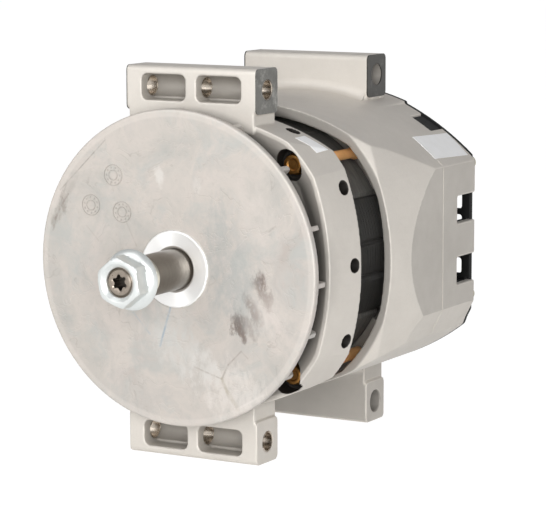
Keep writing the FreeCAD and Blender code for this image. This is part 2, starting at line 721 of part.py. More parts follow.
def make_rotor_core():
    core = ring("RotorCore", S["middle_radius"], S["core_radius"],
                (S["stator_front_y"], S["core_back_y"]))
    keep(core, "rotor_core")


def claw_plate(name, root_y, tip_y):
    """One claw as a tapered plate above the shaft, from its root to its tip."""
    body = new_body(name)
    below = 4
    above = 4
    sketch = new_sketch(body, "XY_Plane", name + "Outline", S["claw_inner_radius"] - below)
    draw_outline(sketch, [
        (-S["claw_root"], root_y),
        (S["claw_root"], root_y),
        (S["claw_tip"], tip_y),
        (-S["claw_tip"], tip_y),
    ])
    pad = body.newObject("PartDesign::Pad", name + "Pad")
    pad.Profile = sketch
    tie(pad, Length=S["rotor_radius"] - S["claw_inner_radius"] + below + above)
    body.Tip = pad
    return body


def make_pole_wheels():
    """Two sets of claws that reach past each other, and the ring that joins them."""
    claws = even_angles(int(S["pole_count"].number))
    half_step = 180.0 / S["pole_count"].number
    front = S["stator_front_y"]
    disc_back = S["pole_disc_back_y"]
    ring_front = S["pole_ring_front_y"]
    back = S["stator_back_y"]
    inner = S["claw_inner_radius"]
    outer = S["rotor_radius"]
    front_tip = ring_front - S["claw_end_gap"]
    rear_tip = disc_back + S["claw_end_gap"]
    edge = 3
    front_plate = claw_plate("FrontClaw", disc_back - LIP, front_tip)
    rear_plate = claw_plate("RearClaw", ring_front + LIP, rear_tip)
    front_shell = ring("FrontClawShell", inner, outer, (disc_back - edge, front_tip))
    rear_shell = ring("RearClawShell", inner, outer, (rear_tip, ring_front + edge))
    front_claws = common("FrontClaws", [round_shaft("FrontClawRing", front_plate, claws),
                                        front_shell])
    offset_claws = [angle + half_step for angle in claws]
    rear_claws = common("RearClaws", [round_shaft("RearClawRing", rear_plate, offset_claws),
                                      rear_shell])
    disc = turned("FrontPoleDisc", [
        (front, S["core_radius"]),
        (front, outer - edge),
        (front + edge, outer),
        (disc_back, outer),
        (disc_back, S["core_radius"]),
    ])
    rear_ring = turned("RearPoleRing", [
        (ring_front, inner),
        (ring_front, outer),
        (back - edge, outer),
        (back, outer - edge),
        (back, inner),
    ])
    keep(fuse("PoleWheelFront", [disc, front_claws]), "pole_wheel_front")
    keep(fuse("PoleWheelRear", [rear_ring, rear_claws]), "pole_wheel_rear")
    joining = ring("PoleJoiningRing", S["joining_ring_radius"], inner,
                   (S["joining_ring_y"], S["joining_ring_y"] + S["joining_ring_length"]))
    keep(joining, "pole_joining_ring")


def rounded_bar(name, half_length, y, z):
    """A bar across the shaft with its four long edges rounded."""
    x = (-half_length, half_length)
    corner = S["lug_corner"]
    wide = box(name + "Wide", x, y, (z[0] + corner, z[1] - corner))
    tall = box(name + "Tall", x, (y[0] + corner, y[1] - corner), z)
    rounds = []
    for along in (y[0] + corner, y[1] - corner):
        for up in (z[0] + corner, z[1] - corner):
            rounds.append(rod_across(name + "Round", corner, x, along, up))
    return fuse(name, [wide, tall] + rounds)


def lug_bars(name, front, thickness):
    """Upper and lower mounting lugs with machined pads at both ends."""
    y = (front, front + thickness)
    root = S["stator_radius"] - S["lug_root_depth"]
    top = S["lug_height"]
    pad = S["pad_inner_height"]
    bars = []
    for title, low, high in (("Upper", root, top), ("Lower", -top, -root)):
        bars.append(rounded_bar(name + title + "Bar", S["lug_half_length"], y, (low, high)))
    for title, low, high in (("Upper", pad, top), ("Lower", -top, -pad)):
        bars.append(rounded_bar(name + title + "Pad", S["pad_half_length"], y, (low, high)))
    return bars


def rounded_window(name, x, y, z, corner):
    """A window with rounded corners, as a block with its four edges along Y rounded."""
    wide = box(name + "Wide", x, y, (z[0] + corner, z[1] - corner))
    tall = box(name + "Tall", (x[0] + corner, x[1] - corner), y, z)
    rounds = []
    for across in (x[0] + corner, x[1] - corner):
        for up in (z[0] + corner, z[1] - corner):
            rounds.append(rod(name + "Round", corner, y, across, up))
    return fuse(name, [wide, tall] + rounds)


def front_outline(name, y, inset_front, inset_back):
    """The bulged outline of the front housing, made smaller by two insets."""
    return bulged(name, y,
                  (S["ring_front_width"] - inset_front, S["ring_back_width"] - inset_back),
                  (S["housing_top"] - inset_front, S["housing_top"] - inset_back),
                  (S["housing_bottom"] - inset_front, S["housing_bottom"] - inset_back),
                  (S["ring_front_corner"] - inset_front, S["ring_back_corner"] - inset_back))


def make_front_housing():
    lip_y = S["ring_front_y"]
    back = S["ring_back_y"]
    floor = lip_y + S["bowl_depth"]
    wall_back = S["wall_back_y"]
    lug_y = S["front_lug_y"]
    outside = front_outline("FrontOutside", (lip_y, back), 0, 0)
    shell = fuse("FrontShell", [outside] + lug_bars("FrontLug", lug_y, S["front_lug_thickness"]))
    lip = S["lip_width"]
    growth = S["ring_back_width"] - S["ring_front_width"]
    mouth = front_outline("FrontMouth", (lug_y - LIP, lip_y), lip, lip + growth)
    bowl = front_outline("FrontBowl", (lip_y, floor), lip, S["bowl_inset"] + growth)
    cavity = rod("FrontCavity", S["stator_radius"] - S["stator_land"], (wall_back, S["stator_front_y"]))
    register = rod("FrontRegister", S["stator_radius"], (S["stator_front_y"], back + LIP))
    hollow = cut("FrontHollow", shell, [mouth, bowl, cavity, register])

    hub_back = S["front_bearing_y"] + S["front_bearing_width"]
    hub = ring("FrontHub", S["front_bearing_radius"] - S["bearing_land"], S["front_hub_radius"],
               (S["front_hub_y"], hub_back))
    cast = fuse("FrontCasting", [hollow, hub])

    bearing_seat = rod("FrontSeat", S["front_bearing_radius"], (S["front_bearing_y"], hub_back + LIP))
    half_vent = S["vent_width"] / 2
    vent_inner = S["vent_inner_radius"] + half_vent
    vent_outer = S["vent_outer_radius"] - half_vent
    vent_y = (floor - LIP, wall_back + LIP)
    vent = fuse("FrontVent", [
        box("FrontVentSlot", (vent_inner, vent_outer), vent_y, (-half_vent, half_vent)),
        rod("FrontVentInner", half_vent, vent_y, vent_inner),
        rod("FrontVentOuter", half_vent, vent_y, vent_outer),
    ])
    vents = round_shaft("FrontVents", vent, even_angles(int(S["front_vents"].number), 90.0))
    tools = [bearing_seat, vents]
    for x, z in mirrored_pairs(S["bolt_x"], S["bolt_z"]):
        tools.append(rod("BoltPocket", S["pocket_radius"], (lug_y - LIP, S["pocket_floor_y"]), x, z))
        tools.append(rod("FrontBoltHole", S["bolt_radius"] + HOLE_CLEARANCE, (lip_y, back + LIP), x, z))
    hole = rod_across("RingHole", S["ring_hole_radius"],
                      (S["stator_radius"] - S["stator_land"] - LIP, S["ring_back_corner"] + LIP),
                      S["ring_hole_y"], 0)
    tools.append(round_shaft("RingHoles", hole, RING_HOLE_ANGLES))
    half_window = S["window_height"] / 2
    for level in (1, -1):
        height = level * S["hole_height"]
        tools.append(rod_across("FrontLugHole", S["bushing_radius"],
                                (-S["pad_half_length"] - LIP, S["pad_half_length"] + LIP),
                                S["front_hole_y"], height))
        for side in (1, -1):
            ends = [side * S["window_inner"], side * S["window_outer"]]
            if side < 0:
                ends.reverse()
            tools.append(rounded_window("LugWindow", ends, (lug_y - LIP, S["front_hole_y"]),
                                        (height - half_window, height + half_window),
                                        S["window_corner"]))
    screw_x, screw_z = retainer_screw_place()
    screw_hole = rod("RetainerHole", S["retainer_screw_radius"],
                     (hub_back - S["retainer_screw_grip"] - LIP, hub_back + LIP), screw_x, screw_z)
    tools.append(round_shaft("RetainerHoles", screw_hole, retainer_screw_angles()))
    keep(cut("FrontHousing", cast, tools), "front_housing")


def retainer_screw_angles():
    return even_angles(int(S["retainer_screws"].number))


def retainer_screw_place():
    middle = (S["front_bearing_radius"] + S["front_hub_radius"]) / 2
    return middle / math.sqrt(2), middle / math.sqrt(2)


def make_front_lug_bushings():
    """Split steel bushings in the three walls of each front lug."""
    walls = [(-S["pad_half_length"], -S["window_outer"]),
             (-S["window_inner"], S["window_inner"]),
             (S["window_outer"], S["pad_half_length"])]
    bushings = []
    half_slit = S["bushing_split"] / 2
    for level in (1, -1):
        height = level * S["hole_height"]
        for x in walls:
            sleeve = rod_across("Sleeve", S["bushing_radius"], x, S["front_hole_y"], height)
            bore = rod_across("SleeveBore", S["bushing_radius"] - S["bushing_wall"],
                              (as_size(x[0]) - LIP, as_size(x[1]) + LIP), S["front_hole_y"], height)
            slit = box("SleeveSlit", (as_size(x[0]) - LIP, as_size(x[1]) + LIP),
                       (S["front_hole_y"] - S["bushing_radius"] - LIP, S["front_hole_y"]),
                       (height - half_slit, height + half_slit))
            bushings.append(cut("Bushing", sleeve, [bore, slit]))
    keep(group("FrontLugBushings", bushings), "front_lug_bushings")


def make_bearing_retainer():
    hub_back = S["front_bearing_y"] + S["front_bearing_width"]
    back = hub_back + S["retainer_thickness"]
    radius = S["retainer_screw_radius"]
    head_radius = radius + 1.2
    head_length = radius * 1.4
    plate = ring("RetainerPlate", S["front_bearing_radius"] - S["bearing_land"],
                 S["front_hub_radius"] - FITTED_CLEARANCE, (hub_back, back))
    x, z = retainer_screw_place()
    hole = rod("PlateHole", radius, (hub_back - LIP, back + LIP), x, z)
    angles = retainer_screw_angles()
    keep(cut("BearingRetainer", plate, [round_shaft("PlateHoles", hole, angles)]), "bearing_retainer")
    shank = rod("RetainerShank", radius, (hub_back - S["retainer_screw_grip"], back), x, z)
    head = rod("RetainerHead", head_radius, (back, back + head_length), x, z)
    screws = round_shaft("RetainerScrews", fuse("RetainerScrew", [shank, head]), angles)
    keep(screws, "retainer_screws")


def make_stator():
    """Laminated core with open slots, the wound bars with their end rings, and slot liners."""
    front = S["stator_front_y"]
    back = S["stator_back_y"]
    count = int(S["stator_slots"].number)
    angles = even_angles(count)
    half = S["slot_width"] / 2
    slot = box("StatorSlot", (S["stator_bore"] - LIP, S["slot_bottom_radius"]),
               (front - LIP, back + LIP), (-half, half))
    core = ring("StatorRing", S["stator_bore"], S["stator_radius"], (front, back))
    keep(cut("StatorCore", core, [round_shaft("StatorSlots", slot, angles)]), "stator_core")

    liner = S["liner_thickness"]
    overhang = S["winding_overhang"]
    head = S["winding_head_length"]
    slot_opening = 2.4
    bar_inner = S["stator_bore"] + slot_opening
    bar_outer = S["slot_bottom_radius"] - liner
    half_bar = half - liner
    bar = box("WindingBar", (bar_inner, bar_outer), (front - overhang, back + overhang),
              (-half_bar, half_bar))
    rings = [ring("FrontHead", bar_inner, bar_outer, (front - overhang - head, front - overhang)),
             ring("BackHead", bar_inner, bar_outer, (back + overhang, back + overhang + head))]
    bars = round_shaft("WindingBars", bar, angles)
    keep(fuse("StatorWinding", [bars] + rings), "stator_winding")

    beyond = 1.5
    outside = box("LinerOutside", (bar_inner - liner, S["slot_bottom_radius"]),
                  (front - beyond, back + beyond), (-half, half))
    inside = box("LinerInside", (bar_inner - liner - LIP, bar_outer),
                 (front - beyond - LIP, back + beyond + LIP), (-half_bar, half_bar))
    one = cut("SlotLiner", outside, [inside])
    keep(round_shaft("SlotLiners", one, angles), "slot_liners")


def make_through_bolts():
    """Hexagon-headed bolts that clamp the stator between the housings, with a collar."""
    seat_y = S["pocket_floor_y"]
    collar_back = S["mouth_floor_y"]
    thread_end = collar_back + S["bolt_thread_length"]
    washer_front = seat_y - 1.2
    collar_length = 8
    bolts = []
    for x, z in mirrored_pairs(S["bolt_x"], S["bolt_z"]):
        head = hexagon("BoltHead", S["bolt_head_flats"],
                       (seat_y - S["bolt_head_length"], washer_front), x, z)
        washer = rod("BoltFlange", S["bolt_flange_radius"], (washer_front, seat_y), x, z)
        shank = rod("BoltShank", S["bolt_radius"], (washer_front, thread_end), x, z)
        collar = rod("BoltCollar", S["bolt_collar_radius"],
                     (collar_back - collar_length, collar_back), x, z)
        bolts.append(fuse("ThroughBolt", [head, washer, shank, collar]))
    keep(group("ThroughBolts", bolts), "through_bolts")


def rear_size(front, back, y):
    """A size of the rear housing part of the way from its lip to its rim."""
    share = (as_size(y) - S["mouth_y"]) / (S["rim_y"] - S["mouth_y"])
    return front + (as_size(back) - front) * share


def rear_outline(name, y, inset):
    """The flared outline of the rear housing between its flat sides, made smaller by an inset."""
    length = S["rim_y"] - S["mouth_y"]
    pairs = []
    for front, growth in ((S["mouth_width"], S["flare"] * length),
                          (S["rear_top"], S["rim_rise"]),
                          (S["housing_bottom"], as_size(0)),
                          (S["mouth_corner"], S["corner_flare"] * length)):
        pairs.append([rear_size(front, front + growth, place) - inset for place in y])
    flared = bulged(name + "Flared", y, *pairs, side_bulge=S["side_bulge_radius"])
    side = S["rim_width"] - inset
    far = S["lug_height"]
    lower = S["side_flat_bottom"]
    facet_across = S["corner_facet_width"]
    facet_up = S["corner_facet_height"]
    steep = 6
    flat = padded(name + "Flat", y, [
        (side, lower), (side, far), (-side, far), (-side, lower),
        (facet_across - side, lower - facet_up), (facet_across * steep - side, -far),
        (side - facet_across * steep, -far), (side - facet_across, lower - facet_up),
    ])
    tops = []
    for side_sign in (1, -1):
        facet = rod(name + "Facet", S["facet_radius"] - inset, y,
                    -side_sign * S["facet_offset_x"], S["facet_middle_z"])
        crown = box(name + "Crown", (-S["crown_half_width"], S["crown_half_width"]), y, (0, far))
        tops.append(fuse(name + "Top", [facet, crown]))
    return common(name, [flared, flat] + tops)


def cover_posts():
    """The places of the four posts that the cover is screwed to."""
    return [(side * S["cover_post_x"], height) for side in (1, -1)
            for height in (S["upper_cover_post_z"], S["lower_cover_post_z"])]


def sink_middle():
    return (S["heat_sink_inner"] + S["heat_sink_outer"]) / 2


def rear_wall_back():
    return S["rear_wall_y"] + S["rear_wall_thickness"]


def mouth_room(name, y):
    """The room inside the mouth of the rear housing, over a stretch of the shaft."""
    wall = S["mouth_wall"]
    stator_gap = 1.2
    return bulged(name, y,
                  (S["mouth_width"] - wall, S["mouth_width"] - wall),
                  (S["housing_top"] - wall, S["housing_top"] - wall),
                  (S["stator_radius"] + stator_gap, S["stator_radius"] + stator_gap),
                  (S["mouth_corner"] - wall, S["mouth_corner"] - wall))


def boss_sectors(y):
    """Four sectors round the through bolts, where the housing holds the stator."""
    sectors = []
    for middle in (BOLT_ANGLE, 180 - BOLT_ANGLE, 180 + BOLT_ANGLE, -BOLT_ANGLE):
        corners = [(0, 0)]
        for angle in (middle - BOSS_HALF_ANGLE, middle + BOSS_HALF_ANGLE):
            turn = math.radians(angle)
            reach = S["lug_height"] * 1.4
            corners.append((reach * math.cos(turn), reach * math.sin(turn)))
        sectors.append(padded("BossSector", y, corners))
    return sectors


def make_rear_housing():
    mouth = S["mouth_y"]
    floor = S["mouth_floor_y"]
    rim = S["rim_y"]
    wall_front = S["rear_wall_y"]
    wall_back = rear_wall_back()
    outside = rear_outline("RearOutside", (mouth, rim), 0)
    bars = lug_bars("RearLug", S["rear_lug_y"], S["rear_lug_thickness"])
    shell = fuse("RearShell", [outside] + bars)
    shaft_hole = S["rear_bearing_radius"] - S["bearing_land"]
    hollow_mouth = mouth_room("RearMouth", (mouth - LIP, floor))
    recess = cut("RearRecess", mouth_room("RearRecessRoom", (floor - LIP, S["mouth_recess_y"])),
                 boss_sectors((floor - LIP * 2, S["mouth_recess_y"] + LIP)))
    register = rod("RearRegister", S["stator_radius"], (floor - LIP, S["stator_back_y"]))
    winding_room = rod("WindingRoom", S["stator_radius"] - S["stator_land"],
                       (S["stator_back_y"] - LIP, wall_front))
    chamber = rear_outline("RearChamber", (wall_back, rim + LIP), S["chamber_wall"])
    hollow = cut("RearHollow", shell, [hollow_mouth, recess, register, winding_room, chamber])

    bearing_back = S["rear_bearing_y"] + S["rear_bearing_width"]
    hub_back = bearing_back + LIP
    additions = [hollow, ring("RearHub", shaft_hole, S["rear_hub_radius"], (wall_front, hub_back))]
    for angle in HEAT_SINK_POSTS:
        x, z = polar_place(sink_middle(), angle)
        additions.append(rod("SinkPost", S["sink_post_radius"], (wall_back - LIP, S["heat_sink_y"]), x, z))
    for x, z in cover_posts():
        additions.append(rod("CoverPost", S["cover_post_radius"], (wall_back - LIP, rim), x, z))
    cast = fuse("RearCasting", additions)

    tools = [rod("RearSeat", S["rear_bearing_radius"], (S["rear_bearing_y"], hub_back + LIP)),
             rod("RearShaftHole", shaft_hole, (wall_front - LIP, S["rear_bearing_y"] + LIP))]
    half_vent = S["vent_width"] / 2
    vent_y = (wall_front - LIP, wall_back + LIP)
    vent_inner = S["rear_vent_inner_radius"] + half_vent
    vent_outer = S["rear_vent_outer_radius"] - half_vent
    vent = fuse("RearVent", [
        box("RearVentSlot", (vent_inner, vent_outer), vent_y, (-half_vent, half_vent)),
        rod("RearVentInner", half_vent, vent_y, vent_inner),
        rod("RearVentOuter", half_vent, vent_y, vent_outer),
    ])
    count = int(S["rear_vents"].number)
    tools.append(round_shaft("RearVents", vent, even_angles(count, 180.0 / count)))
    notch_y = (rim - S["notch_depth"], rim + LIP)
    notch_x = (S["rim_width"] - S["chamber_wall"] - 2, S["rim_width"] + LIP)
    for low in (S["upper_notch_z"], S["lower_notch_z"]):
        height = (low, low + S["notch_height"])
        tools.append(box("SideNotch", notch_x, notch_y, height))
        tools.append(box("FarNotch", (-notch_x[1], -notch_x[0]), notch_y, height))
    top_y = (rim - S["top_notch_depth"], rim + LIP)
    top = (S["rim_top"] - S["top_notch_height"], S["rim_top"])
    across = (S["top_notch_x"], S["top_notch_x"] + S["top_notch_width"])
    tools.append(box("TopNotch", across, top_y, top))
    tools.append(box("FarTopNotch", (-across[1], -across[0]), top_y, top))
    for level in (1, -1):
        tools.append(rod_across("RearLugHole", S["rear_hole_radius"],
                                (-S["pad_half_length"] - LIP, S["pad_half_length"] + LIP),
                                S["front_hole_y"] + S["hole_pitch_y"], level * S["hole_height"]))
    for x, z in mirrored_pairs(S["bolt_x"], S["bolt_z"]):
        tools.append(rod("RearBoltHole", S["bolt_radius"],
                         (floor - LIP, floor + S["bolt_thread_length"] + LIP), x, z))
    for x, z in cover_posts():
        tools.append(rod("CoverScrewHole", S["cover_screw_radius"],
                         (rim - S["cover_screw_grip"] - LIP, rim + LIP), x, z))
    for angle in HEAT_SINK_POSTS:
        x, z = polar_place(sink_middle(), angle)
        tools.append(rod("SinkScrewHole", S["sink_screw_radius"],
                         (sink_screw_front() - LIP, S["heat_sink_y"] + LIP), x, z))
    screw = rod("SupportScrewHole", S["support_screw_radius"], (wall_front - LIP, wall_back + LIP),
                support_screw_place())
    tools.append(round_shaft("SupportScrewHoles", screw, support_screw_angles()))
    keep(cut("RearHousing", cast, tools), "rear_housing")


def sink_screw_front():
    """How far the screws of the heat sinks reach into the rear wall."""
    return S["rear_wall_y"] + S["rear_wall_thickness"] / 2


def support_screw_place():
    """How far the screws of the coil support stand from the shaft axis."""
    return S["support_flange_radius"] - S["support_screw_radius"] - 3.5


def support_screw_angles():
    return even_angles(int(S["support_screws"].number), 90.0)


def make_field_coil():
    """The coil that stands still inside the claws, on a steel support from the rear wall."""
    tube_inner = S["core_radius"] + S["air_gap"]
    tube_outer = tube_inner + S["support_wall"]
    flange_front = S["rear_wall_y"] - S["support_flange_length"]
    collar = 3
    support = turned("CoilSupportBody", [
        (S["coil_front_y"], tube_inner),
        (S["rear_wall_y"], tube_inner),
        (S["rear_wall_y"], S["support_flange_radius"]),
        (flange_front, S["support_flange_radius"]),
        (flange_front, tube_outer + collar),
        (S["coil_back_y"], tube_outer + collar),
        (S["coil_back_y"], tube_outer),
        (S["coil_front_y"], tube_outer),
    ])
    radius = S["support_screw_radius"]
    place = support_screw_place()
    hole = rod("SupportHole", radius, (flange_front - LIP, S["rear_wall_y"] + LIP), place)
    angles = support_screw_angles()
    keep(cut("CoilSupport", support, [round_shaft("SupportHoles", hole, angles)]), "coil_support")
    head_flats = radius * 3.2
    head_back = rear_wall_back() + radius * 1.4
    head = hexagon("SupportHead", head_flats, (rear_wall_back(), head_back), place)
    shank = rod("SupportShank", radius, (flange_front, rear_wall_back()), place)
    screw = fuse("SupportScrew", [head, shank])
    keep(round_shaft("SupportScrews", screw, angles), "support_screws")

    wall = S["bobbin_wall"]
    spool = tube_outer + wall
    bobbin = turned("CoilBobbin", [
        (S["coil_front_y"], tube_outer),
        (S["coil_back_y"], tube_outer),
        (S["coil_back_y"], S["coil_radius"]),
        (S["coil_back_y"] - wall, S["coil_radius"]),
        (S["coil_back_y"] - wall, spool),
        (S["coil_front_y"] + wall, spool),
        (S["coil_front_y"] + wall, S["coil_radius"]),
        (S["coil_front_y"], S["coil_radius"]),
    ])
    keep(bobbin, "coil_bobbin")
    winding = ring("FieldCoil", spool, S["coil_radius"] - wall / 2,
                   (S["coil_front_y"] + wall, S["coil_back_y"] - wall))
    keep(winding, "field_coil")


def heat_sink(name, y):
    """A curved plate over the rear bearing, from side to side."""
    plate = ring(name + "Ring", S["heat_sink_inner"], S["heat_sink_outer"], y)
    below = box(name + "Below", (-S["rim_width"], S["rim_width"]), (y[0] - LIP, y[1] + LIP),
                (-S["rim_width"], S["heat_sink_bottom"]))
    return cut(name + "Plate", plate, [below])


def make_rectifier():
    """Two heat sinks one behind the other, with a row of pressed-in diodes in each."""
    front = S["heat_sink_y"]
    thickness = S["heat_sink_thickness"]
    step = S["heat_sink_step"]
    middle = sink_middle()
    stud_x, stud_z = S["output_stud_x"], S["output_stud_z"]
    can_inset = 1.2
    pin_radius = 0.8
    pin_length = 3
    plates = (("earthed", "Earthed", front), ("insulated", "Insulated", front + step))
    for word, title, start in plates:
        y = (start, start + thickness)
        hole = rod(title + "DiodeHole", S["diode_radius"], (y[0] - LIP, y[1] + LIP), middle)
        tools = [round_shaft(title + "DiodeHoles", hole, DIODE_ANGLES)]
        screw = rod(title + "ScrewHole", S["sink_screw_radius"], (y[0] - LIP, y[1] + LIP), middle)
        tools.append(round_shaft(title + "ScrewHoles", screw, HEAT_SINK_POSTS))
        stud_hole = S["stud_radius"] if word == "insulated" else S["stud_radius"] + S["stud_collar"]
        tools.append(rod(title + "StudHole", stud_hole, (y[0] - LIP, y[1] + LIP), stud_x, stud_z))
        keep(cut(title + "HeatSink", heat_sink(title, y), tools), "heat_sink_" + word)
        can_front = start - can_inset
        can_back = can_front + S["diode_length"]
        can = rod(title + "Can", S["diode_radius"], (can_front, can_back), middle)
        pin = rod(title + "Pin", pin_radius, (can_back, can_back + pin_length), middle)
        diode = fuse(title + "Diode", [can, pin])
        keep(round_shaft(title + "Diodes", diode, DIODE_ANGLES), word + "_diodes")
    insulated = front + step
    sleeve = ring("InsulatorSleeve", S["sink_screw_radius"], S["sink_post_radius"],
                  (front + thickness, insulated))
    sleeve_place = DOCUMENT.addObject("Part::Compound", "InsulatorPlace")
    sleeve_place.Links = [sleeve]
    seat(sleeve_place, x=middle)
    keep(round_shaft("RectifierInsulators", sleeve_place, HEAT_SINK_POSTS), "rectifier_insulators")
    plate_back = insulated + thickness
    radius = S["sink_screw_radius"]
    shank = rod("RectifierShank", radius, (sink_screw_front(), plate_back), middle)
    head = rod("RectifierHead", radius * 1.8, (plate_back, plate_back + radius * 1.3), middle)
    screw = fuse("RectifierScrew", [shank, head])
    keep(round_shaft("RectifierScrews", screw, HEAT_SINK_POSTS), "rectifier_screws")


def make_regulator():
    """A moulded block screwed to the rear wall by its two ears, with the relay stud in it."""
    front = rear_wall_back()
    back = front + S["regulator_length"]
    foot_back = front + S["regulator_foot"]
    half = S["regulator_half_width"]
    bottom = S["regulator_bottom"]
    top = S["regulator_top"]
    middle = (bottom + top) / 2
    radius = S["regulator_screw_radius"]
    ear = 9
    step = 3
    foot = box("RegulatorFoot", (-half, half), (front, foot_back), (bottom, top))
    case = box("RegulatorCase", (ear - half, half - ear), (front, back), (bottom + step, top - step))
    holes = []
    screws = []
    for side in (1, -1):
        x = side * S["regulator_screw_x"]
        holes.append(rod("RegulatorHole", radius, (front - LIP, back), x, middle))
        shank = rod("RegulatorShank", radius, (front, foot_back), x, middle)
        head = rod("RegulatorHead", radius * 1.7, (foot_back, foot_back + radius * 1.2), x, middle)
        screws.append(fuse("RegulatorScrew", [shank, head]))
    stud_y = (foot_back, S["relay_stud_end_y"])
    stud_place = (S["relay_stud_x"], S["relay_stud_z"])
    holes.append(rod("RelayHole", S["relay_stud_radius"], (foot_back, back + LIP), *stud_place))
    keep(cut("Regulator", fuse("RegulatorWhole", [foot, case]), holes), "regulator")
    keep(group("RegulatorScrews", screws), "regulator_screws")
    keep(rod("RelayStud", S["relay_stud_radius"], stud_y, *stud_place), "relay_stud")


def make_terminals():
    """Output and earth studs, and the bushings and nuts of all three studs."""
    radius = S["stud_radius"]
    cover_back = S["cover_back_y"]
    output_x, output_z = S["output_stud_x"], S["output_stud_z"]
    sink_front = S["heat_sink_y"] + S["heat_sink_step"]
    sink_back = sink_front + S["heat_sink_thickness"]
    head_length = 4
    head = hexagon("OutputHead", radius * 3, (sink_front - head_length, sink_front), output_x, output_z)
    shank = rod("OutputShank", radius, (sink_front - LIP, S["stud_end_y"]), output_x, output_z)
    keep(fuse("OutputStud", [head, shank]), "output_stud")
    earth_x, earth_z = S["earth_stud_x"], S["earth_stud_z"]
    earth_y = (rear_wall_back(), S["stud_end_y"])
    keep(rod("EarthStud", radius, earth_y, earth_x, earth_z), "earth_stud")
    bushings = []
    nuts = []
    flange = 3
    collar_back = cover_back + 3
    places = (
        ("Output", output_x, output_z, radius, sink_back),
        ("Earth", earth_x, earth_z, radius, rear_wall_back()),
        ("Relay", S["relay_stud_x"], S["relay_stud_z"], S["relay_stud_radius"],
         rear_wall_back() + S["regulator_length"]),
    )
    for title, x, z, inner, start in places:
        outer = inner + S["stud_collar"]
        tube = rod(title + "Tube", outer, (start, cover_back), x, z)
        collar = rod(title + "Collar", outer + flange, (cover_back, collar_back), x, z)
        bore = rod(title + "Bore", inner, (start - LIP, collar_back + LIP), x, z)
        bushings.append(cut(title + "Bushing", fuse(title + "Sleeve", [tube, collar]), [bore]))
        nut_y = (collar_back, collar_back + inner * 1.6)
        nut = hexagon(title + "Nut", inner * 3.25, nut_y, x, z)
        nut_bore = rod(title + "NutBore", inner, (nut_y[0] - LIP, nut_y[1] + LIP), x, z)
        nuts.append(cut(title + "StudNut", nut, [nut_bore]))
    keep(group("StudBushings", bushings), "stud_bushings")
    keep(group("StudNuts", nuts), "stud_nuts")


def cover_tabs(y):
    """Tabs of the cover that fill the top notches in the rim of the rear housing."""
    gap = FITTED_CLEARANCE
    low = S["rim_top"] - S["top_notch_height"]
    blocks = []
    across = (S["top_notch_x"] + gap, S["top_notch_x"] + S["top_notch_width"] - gap)
    top_y = (S["rim_y"] - S["top_notch_depth"] + gap, y[1])
    for x in (across, (-across[1], -across[0])):
        blocks.append(box("TopTab", x, top_y, (low + gap, S["rim_top"])))
    return common("CoverTabs", [rear_outline("TabOutline", y, S["cover_tab_inset"]),
                                fuse("TabBlocks", blocks)])


def make_rear_cover():
    """A moulded cover behind the rim: plate, skirt in the chamber, tabs in the top notches, slots."""
    gap = S["cover_gap"]
    rim = S["rim_y"]
    back = S["cover_back_y"]
    wall = S["cover_wall"]
    inset = S["chamber_wall"] + gap
    front = S["cover_skirt_y"]
    half_plate = S["rim_width"] - S["cover_side_inset"]
    far = S["lug_height"]
    plate = common("CoverPlate", [rear_outline("PlateOutline", (rim, back), 0),
                                  box("PlateSpan", (-half_plate, half_plate), (rim, back), (-far, far))])
    skirt = rear_outline("CoverSkirt", (front, rim), inset)
    inside = rear_outline("CoverInside", (front - LIP, rim), inset + wall)
    wall_body = cut("CoverWall", skirt, [inside])
    tabs = cut("CoverTabWall", cover_tabs((front, rim)), [inside])
    shell = fuse("CoverShell", [wall_body, tabs, plate])
    tools = []
    slot_y = (rim - LIP, back + LIP)
    inner_end = S["cover_slot_inner"]
    outer_end = S["cover_slot_outer"]
    for row in range(int(S["cover_slot_rows"].number)):
        height = S["cover_slot_bottom"] + S["cover_slot_pitch"] * row
        for ends in ((inner_end, outer_end), (-outer_end, -inner_end)):
            tools.append(box("CoverSlot", ends, slot_y, (height, height + S["cover_slot_height"])))
    slot_end = S["rim_width"] - S["cover_side_slot_inset"]
    slot_start = slot_end - S["cover_side_slot_width"]
    for row in range(int(S["cover_side_slots"].number)):
        low = S["cover_side_slot_bottom"] + S["cover_side_slot_pitch"] * row
        height = (low, low + S["cover_side_slot_height"])
        for ends in ((slot_start, slot_end), (-slot_end, -slot_start)):
            tools.append(rounded_window("SideSlot", ends, slot_y, height, S["slot_corner"]))
    skirt_x = (S["rim_width"] - inset - wall - LIP, S["rim_width"])
    for notch in ("upper_notch_z", "lower_notch_z"):
        height = (S[notch], S[notch] + S["notch_height"])
        tools.append(box("SkirtGap", skirt_x, (front - LIP, rim), height))
        tools.append(box("FarSkirtGap", (-skirt_x[1], -skirt_x[0]), (front - LIP, rim), height))
    radius = S["cover_screw_radius"]
    for x, z in cover_posts():
        tools.append(rod("CoverPostRoom", S["cover_post_radius"] + gap, (front - LIP, rim), x, z))
        tools.append(rod("CoverHole", radius, slot_y, x, z))
    for stud, inner in (("output", S["stud_radius"]), ("earth", S["stud_radius"]),
                        ("relay", S["relay_stud_radius"])):
        tools.append(rod("StudRoom", inner + S["stud_collar"], slot_y,
                         S[stud + "_stud_x"], S[stud + "_stud_z"]))
    keep(cut("RearCover", shell, tools), "rear_cover")
    screws = []
    for x, z in cover_posts():
        shank = rod("CoverShank", radius, (rim - S["cover_screw_grip"], back), x, z)
        head = rod("CoverHead", radius * 2.2, (back, back + radius * 1.4), x, z)
        screws.append(fuse("CoverScrew", [shank, head]))
    keep(group("CoverScrews", screws), "cover_screws")


